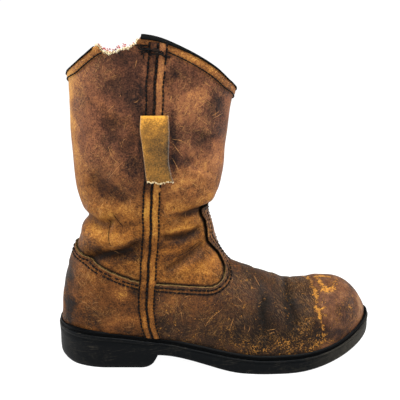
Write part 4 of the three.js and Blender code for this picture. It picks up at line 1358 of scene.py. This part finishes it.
sole = {
    "weltThick": 4.0, "weltGap": 0.3, "treadDeep": 1.4, "treadStep": 7.0, "waist": (88, 168),
    "weltStations": 150, "wallStations": 190, "treadLanes": 60,
    "weltRubber": {"clean": "#010203", "dusty": "#161412", "gloss": 0.42, "dust": 0.06, "shine": 0.04},
    "unitRubber": {"clean": "#010305", "dusty": "#4c473d", "gloss": 0.5, "dust": 0.11, "shine": 0.07},
    # inset from the sole's edge, height over the feather line
    "weltProfile": [(11, 0.0), (6.6, 0.0), (5.6, 0.1), (5.0, -0.9), (4.3, -0.9), (3.8, 0.25), (3.0, 0.3),
                    (2.6, -0.6), (2.1, -0.7), (1.7, -0.1), (1.3, -0.6), (1.1, -1.6), (1.9, -2.1),
                    (1.9, -2.6), (1.2, -3.0), (1.3, -4.0), (11, -4.0)],
    # inset, share of the wall's height from the underside (0) to the top (1), extra rise
    "wallProfile": [(1.5, 0.0, 0.0), (0.8, 0.0, 0.3), (0.3, 0.0, 1.1), (0.1, 0.12, 1.0), (0.1, 0.3, 0.0),
                    (0.3, 0.5, 0.0), (0.25, 0.72, 0.0), (0.1, 0.84, 0.0), (0.6, 0.86, 0.0),
                    (0.6, 0.885, 0.0), (0.0, 0.9, 0.0), (0.0, 0.97, 0.0), (0.5, 1.0, 0.0),
                    (3.5, 1.0, 0.0)],
}
loops = sweepSole(sole["weltProfile"], sole["weltStations"])
piece("storm_welt", loops.reshape(-1, 3), bridge(*loops.shape[:2], wrapRows=True, wrapColumns=True)[:, ::-1],
      [rubber("nitrile rubber, storm welt", sole["weltRubber"])], "welt", "welt_rubber",
      notes={"dust": np.zeros(loops.shape[0] * loops.shape[1])})

stations = sole["wallStations"]
wallLoops = []
for inset, share, rise in sole["wallProfile"]:
    loop = soleLoop(inset, stations)
    low, high = underside(loop[:, 0]), feather(loop[:, 0]) - sole["weltThick"] - sole["weltGap"]
    wallLoops.append(np.column_stack([loop, low + (high - low) * share + rise * (1 - share)]))
wallLoops = np.array(wallLoops)
loopCount = wallLoops.shape[1]
# The tread: a smooth rim, then wavy cross grooves, with a plain waist under the arch.
nearLine, farLine = acrossLoop(wallLoops[0], stations)
bx = nearLine[:, 0]
waistFrom, waistTo = sole["waist"]
bottom = []
for lane in np.linspace(0, 1, sole["treadLanes"])[1:-1]:
    by = nearLine[:, 1] * (1 - lane) + farLine[:, 1] * lane
    rimAway = np.minimum(by - nearLine[:, 1], farLine[:, 1] - by)
    zig = 3.2 * np.abs(((by / 14) % 2) - 1)
    groove = ease((np.abs((((bx + zig) / sole["treadStep"]) % 1) - 0.5) - 0.24) / 0.1)
    treaded = ease((rimAway - 4.5) / 1.2) * (1 - ease((bx - waistFrom) / 4) * (1 - ease((bx - waistTo) / 6)))
    bottom.append(np.column_stack([bx, by, underside(bx) + sole["treadDeep"] * groove * treaded]))
bottom = np.array(bottom)
solePoints = np.vstack([wallLoops.reshape(-1, 3), bottom.reshape(-1, 3)])
wallShare = np.repeat([share for inset, share, rise in sole["wallProfile"]], loopCount)
dust = np.concatenate([0.04 * (wallShare > 0.88), np.full(bottom.shape[0] * stations, 0.3)])
dust += 0.12 * np.exp(-(solePoints[:, 0] / 20) ** 2) + 0.5 * ease((solePoints[:, 0] - 235) / 60) - 0.16
piece("unit_sole", solePoints,
      [bridge(len(wallLoops), loopCount, wrapColumns=True)[:, ::-1],
       coverLoop(0, len(wallLoops) * loopCount, len(bottom), stations)],
      [rubber("nitrile rubber, unit sole", sole["unitRubber"])],
      "outsole", "sole_rubber", notes={"dust": dust})

# The sock lining lies inside the boot over the welt, dished by the foot.
insole = {
    "profile": [(11.6, -3.6), (11.6, 1.6), (12.4, 2.6), (14, 2.9)],      # inset, height over the feather line
    "stations": 90, "lanes": 18, "dish": 0.9, "leather": ("#4e3a27", "#8d6d4a"),
}
stations = insole["stations"]
rims = sweepSole(insole["profile"], stations)
outerLine, innerLine = acrossLoop(rims[-1], stations)
dish = np.array([outerLine * (1 - s) + innerLine * s - [0, 0, insole["dish"] * math.sin(math.pi * s)]
                 for s in np.linspace(0, 1, insole["lanes"])[1:-1]])
ringCount = rims.shape[1]
piece("sock_lining", np.vstack([rims.reshape(-1, 3), dish.reshape(-1, 3)]),
      [bridge(len(rims), ringCount, wrapColumns=True)[:, ::-1],
       coverLoop((len(rims) - 1) * ringCount, len(rims) * ringCount, len(dish), stations)[:, ::-1]],
      [liningLeather("worn leather sock lining", *insole["leather"])], "insole", "insole_leather")
print("sole built")

# Scratches and small nicks as real slivers of open grain.
scuffs = {
    "scratchWide": 0.28, "creaseWide": 0.42, "strayWide": 0.24, "strays": 150,
    # the foot and the shaft: x from, x to, z from, z to
    "areas": ((20, 290, 32, 80), (35, 160, 100, 275)),
}
scratches = [
    [(82, 243), (80.6, 239), (80, 235)], [(78, 208), (71, 200), (63, 190)],
    [(93, 295), (92, 291), (91, 288)], [(65, 223), (69, 211), (74, 207)], [(155, 246), (162, 249)],
    [(155, 243), (165, 247)], [(121, 228), (129, 226), (139, 219)], [(121, 211), (124, 205), (127, 197)],
    [(135, 226), (137, 217)], [(121, 225), (131, 210)], [(47, 225), (42, 208)], [(147, 189), (145, 182)],
    [(160, 192), (160, 186)], [(28, 93), (34, 84)], [(31, 69), (39, 67)], [(76, 225), (78, 220)],
    [(176, 87), (174, 83)], [(177, 56), (173, 43)], [(149, 42), (156, 54), (168, 65)],
    [(190.5, 90), (194.4, 86.3), (198.5, 81.7), (201.8, 77.2)], [(57, 150), (60, 146)],
    [(112, 62), (116, 58)],
]


def sliver(line, side, width):
    # A thin tapered tube half sunk in the leather, as a list of one, or of none where it misses the boot.
    spots = []
    for px, pz in softLine(line, 1.4):
        start = Vector(placed([px, side * 200, pz]))
        hit, normal = skinTree.ray_cast(start, Vector((0, -side, 0)))[:2]
        if hit is None or (hit[1] * 1000 - shift[1] - centre(px)) * side < 6:
            continue                             # missed, or gone through to the far wall
        normal = np.array(normal) * (1 if normal[1] * side > 0 else -1)
        onPanel = any(insideOf(np.array([[px, pz]]), outline)[0] for outline in (vampOutline, counterOutline))
        lift = (panels["thick"] if onPanel else 0) - width * 0.35
        spots.append(np.array(hit) * 1000 - shift + normal * lift)
    if len(spots) < 3 or max(np.linalg.norm(np.diff(spots, axis=0), axis=1)) >= 6:
        return []
    taper = width * (0.35 + 0.65 * np.sin(np.pi * np.linspace(0.05, 0.95, len(spots))))
    return [tube(spots, taper * chance.uniform(0.6, 1.2, len(spots)), 5)]


# fine creases as dark slivers in the black thread's material: dirt and painted shade in the crease lines
fineCreases = [
    [(60, 152), (63.5, 147.5), (62.2, 143.5), (61.5, 137), (62.6, 130), (65.8, 126)],
    [(66, 160), (68.4, 153.4), (71.6, 149.4), (75, 146)], [(120, 168), (122, 164), (121, 161)],
    [(140, 121.5), (132, 117), (124, 114)], [(145, 126), (137, 121), (130, 118)],
    [(148, 123), (138, 117.5), (127, 111.5)], [(134, 158), (142, 158.6), (149, 156)],
    [(44, 62), (49, 57)], [(171, 60), (176, 52), (181, 45)], [(184, 60), (188, 50)],
]
for name, lines, wide, material in (("scratches_hand", scratches, scuffs["scratchWide"], scratchRaw),
                                    ("fine_creases", fineCreases, scuffs["creaseWide"], blackThreadAndCreaseShade)):
    joined(name, [made for line in lines for made in sliver(line, -1, wide)], material, "shaft_leather")
strays = []
for k in range(scuffs["strays"]):
    x0, x1, z0, z1 = scuffs["areas"][1 if k % 3 else 0]
    px, pz = chance.uniform(x0, x1), chance.uniform(z0, z1)
    turn, run = chance.uniform(0, math.pi), chance.uniform(2, 9)
    bendy = chance.normal(0, 0.6)
    reachX, reachZ = run * math.cos(turn), run * math.sin(turn)
    line = [(px, pz), (px + reachX / 2 + bendy, pz + reachZ / 2 - bendy), (px + reachX, pz + reachZ)]
    strays += sliver(line, -1 if k % 2 else 1, scuffs["strayWide"])
joined("scratches", strays, scratchRaw, "shaft_leather")
print("scratches", len(strays))

studio = {
    "table": "#6f6f6f", "glow": 0.985, "floorReach": 60.0, "horizon": 1.0, "sky": 0.28,
    "key": 32.0, "fill": 3.0, "sides": 6.0, "camera": (145, -580, 348), "pitch": 18, "lens": 57.6,
}
# An opal acrylic light table: it glows white from below, so the floor stays plain and pale.
floorMaterial, tree, shader, where = startMaterial(
    "opal acrylic light table", Roughness=0.9, Specular_IOR_Level=0.0, Emission_Strength=studio["glow"])
shader.inputs["Base Color"].default_value = linear(studio["table"])
shader.inputs["Emission Color"].default_value = (1, 1, 1, 1)
floorMesh = bpy.data.meshes.new("studio_floor")
reach = studio["floorReach"]
corners = [(a * reach, b * reach, 0) for a, b in ((-1, -1), (1, -1), (1, 1), (-1, 1))]
floorMesh.from_pydata(corners, [], [(0, 1, 2, 3)])
floorMesh.materials.append(floorMaterial)
floor = bpy.data.objects.new("studio_floor", floorMesh)
bpy.context.scene.collection.objects.link(floor)
floor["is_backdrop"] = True

world = bpy.data.worlds.new("studio")
bpy.context.scene.world = world
world.use_nodes = True
# white round the horizon, dimmer overhead, so that the softbox gives the boot its shape
tree = world.node_tree
upward = addNode(tree, "SeparateXYZ", None, {0: addNode(tree, "TexCoord", out="Generated")}, out="Z")
bright = addNode(tree, "MapRange", {"From Min": 0.1, "From Max": 0.3, "To Min": studio["horizon"],
                                    "To Max": studio["sky"]}, {"Value": upward})
tree.links.new(bright, tree.nodes["Background"].inputs["Strength"])
tree.nodes["Background"].inputs["Color"].default_value = (1, 1, 1, 1)


def softLight(name, place, aim, size, power):
    lamp = bpy.data.lights.new(name, "AREA")
    lamp.shape, lamp.size, lamp.size_y, lamp.energy = "RECTANGLE", size[0], size[1], power
    made = bpy.data.objects.new(name, lamp)
    made.location = place
    made.rotation_euler = (Vector(aim) - Vector(place)).to_track_quat("-Z", "Y").to_euler()
    bpy.context.scene.collection.objects.link(made)


softLight("overhead_softbox", (0.15, -0.35, 1.25), (0, 0, 0.12), (1.0, 0.8), studio["key"])
softLight("front_fill", (-0.5, -1.3, 0.6), (0, 0, 0.12), (1.0, 0.8), studio["fill"])
for side, label in ((-1, "left"), (1, "right")):
    softLight(f"side_softbox_{label}", (0.95 * side, 0.05, 0.35), (0, 0, 0.15), (0.5, 0.8), studio["sides"])

camera = bpy.data.objects.new("camera", bpy.data.cameras.new("camera"))
camera.location = placed(studio["camera"])
camera.rotation_euler = (math.radians(90 - studio["pitch"]), 0, 0)
camera.data.lens, camera.data.sensor_width = studio["lens"], 36
camera.data.clip_start, camera.data.clip_end = 0.01, 200
bpy.context.scene.collection.objects.link(camera)
bpy.context.scene.camera = camera
bpy.context.scene.view_settings.view_transform = "Standard"

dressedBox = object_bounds()
plain = lambda box: [[float(v) for v in corner] for corner in box]
{"cad": plain(packedBox), "visual": plain(dressedBox)}
print("done")
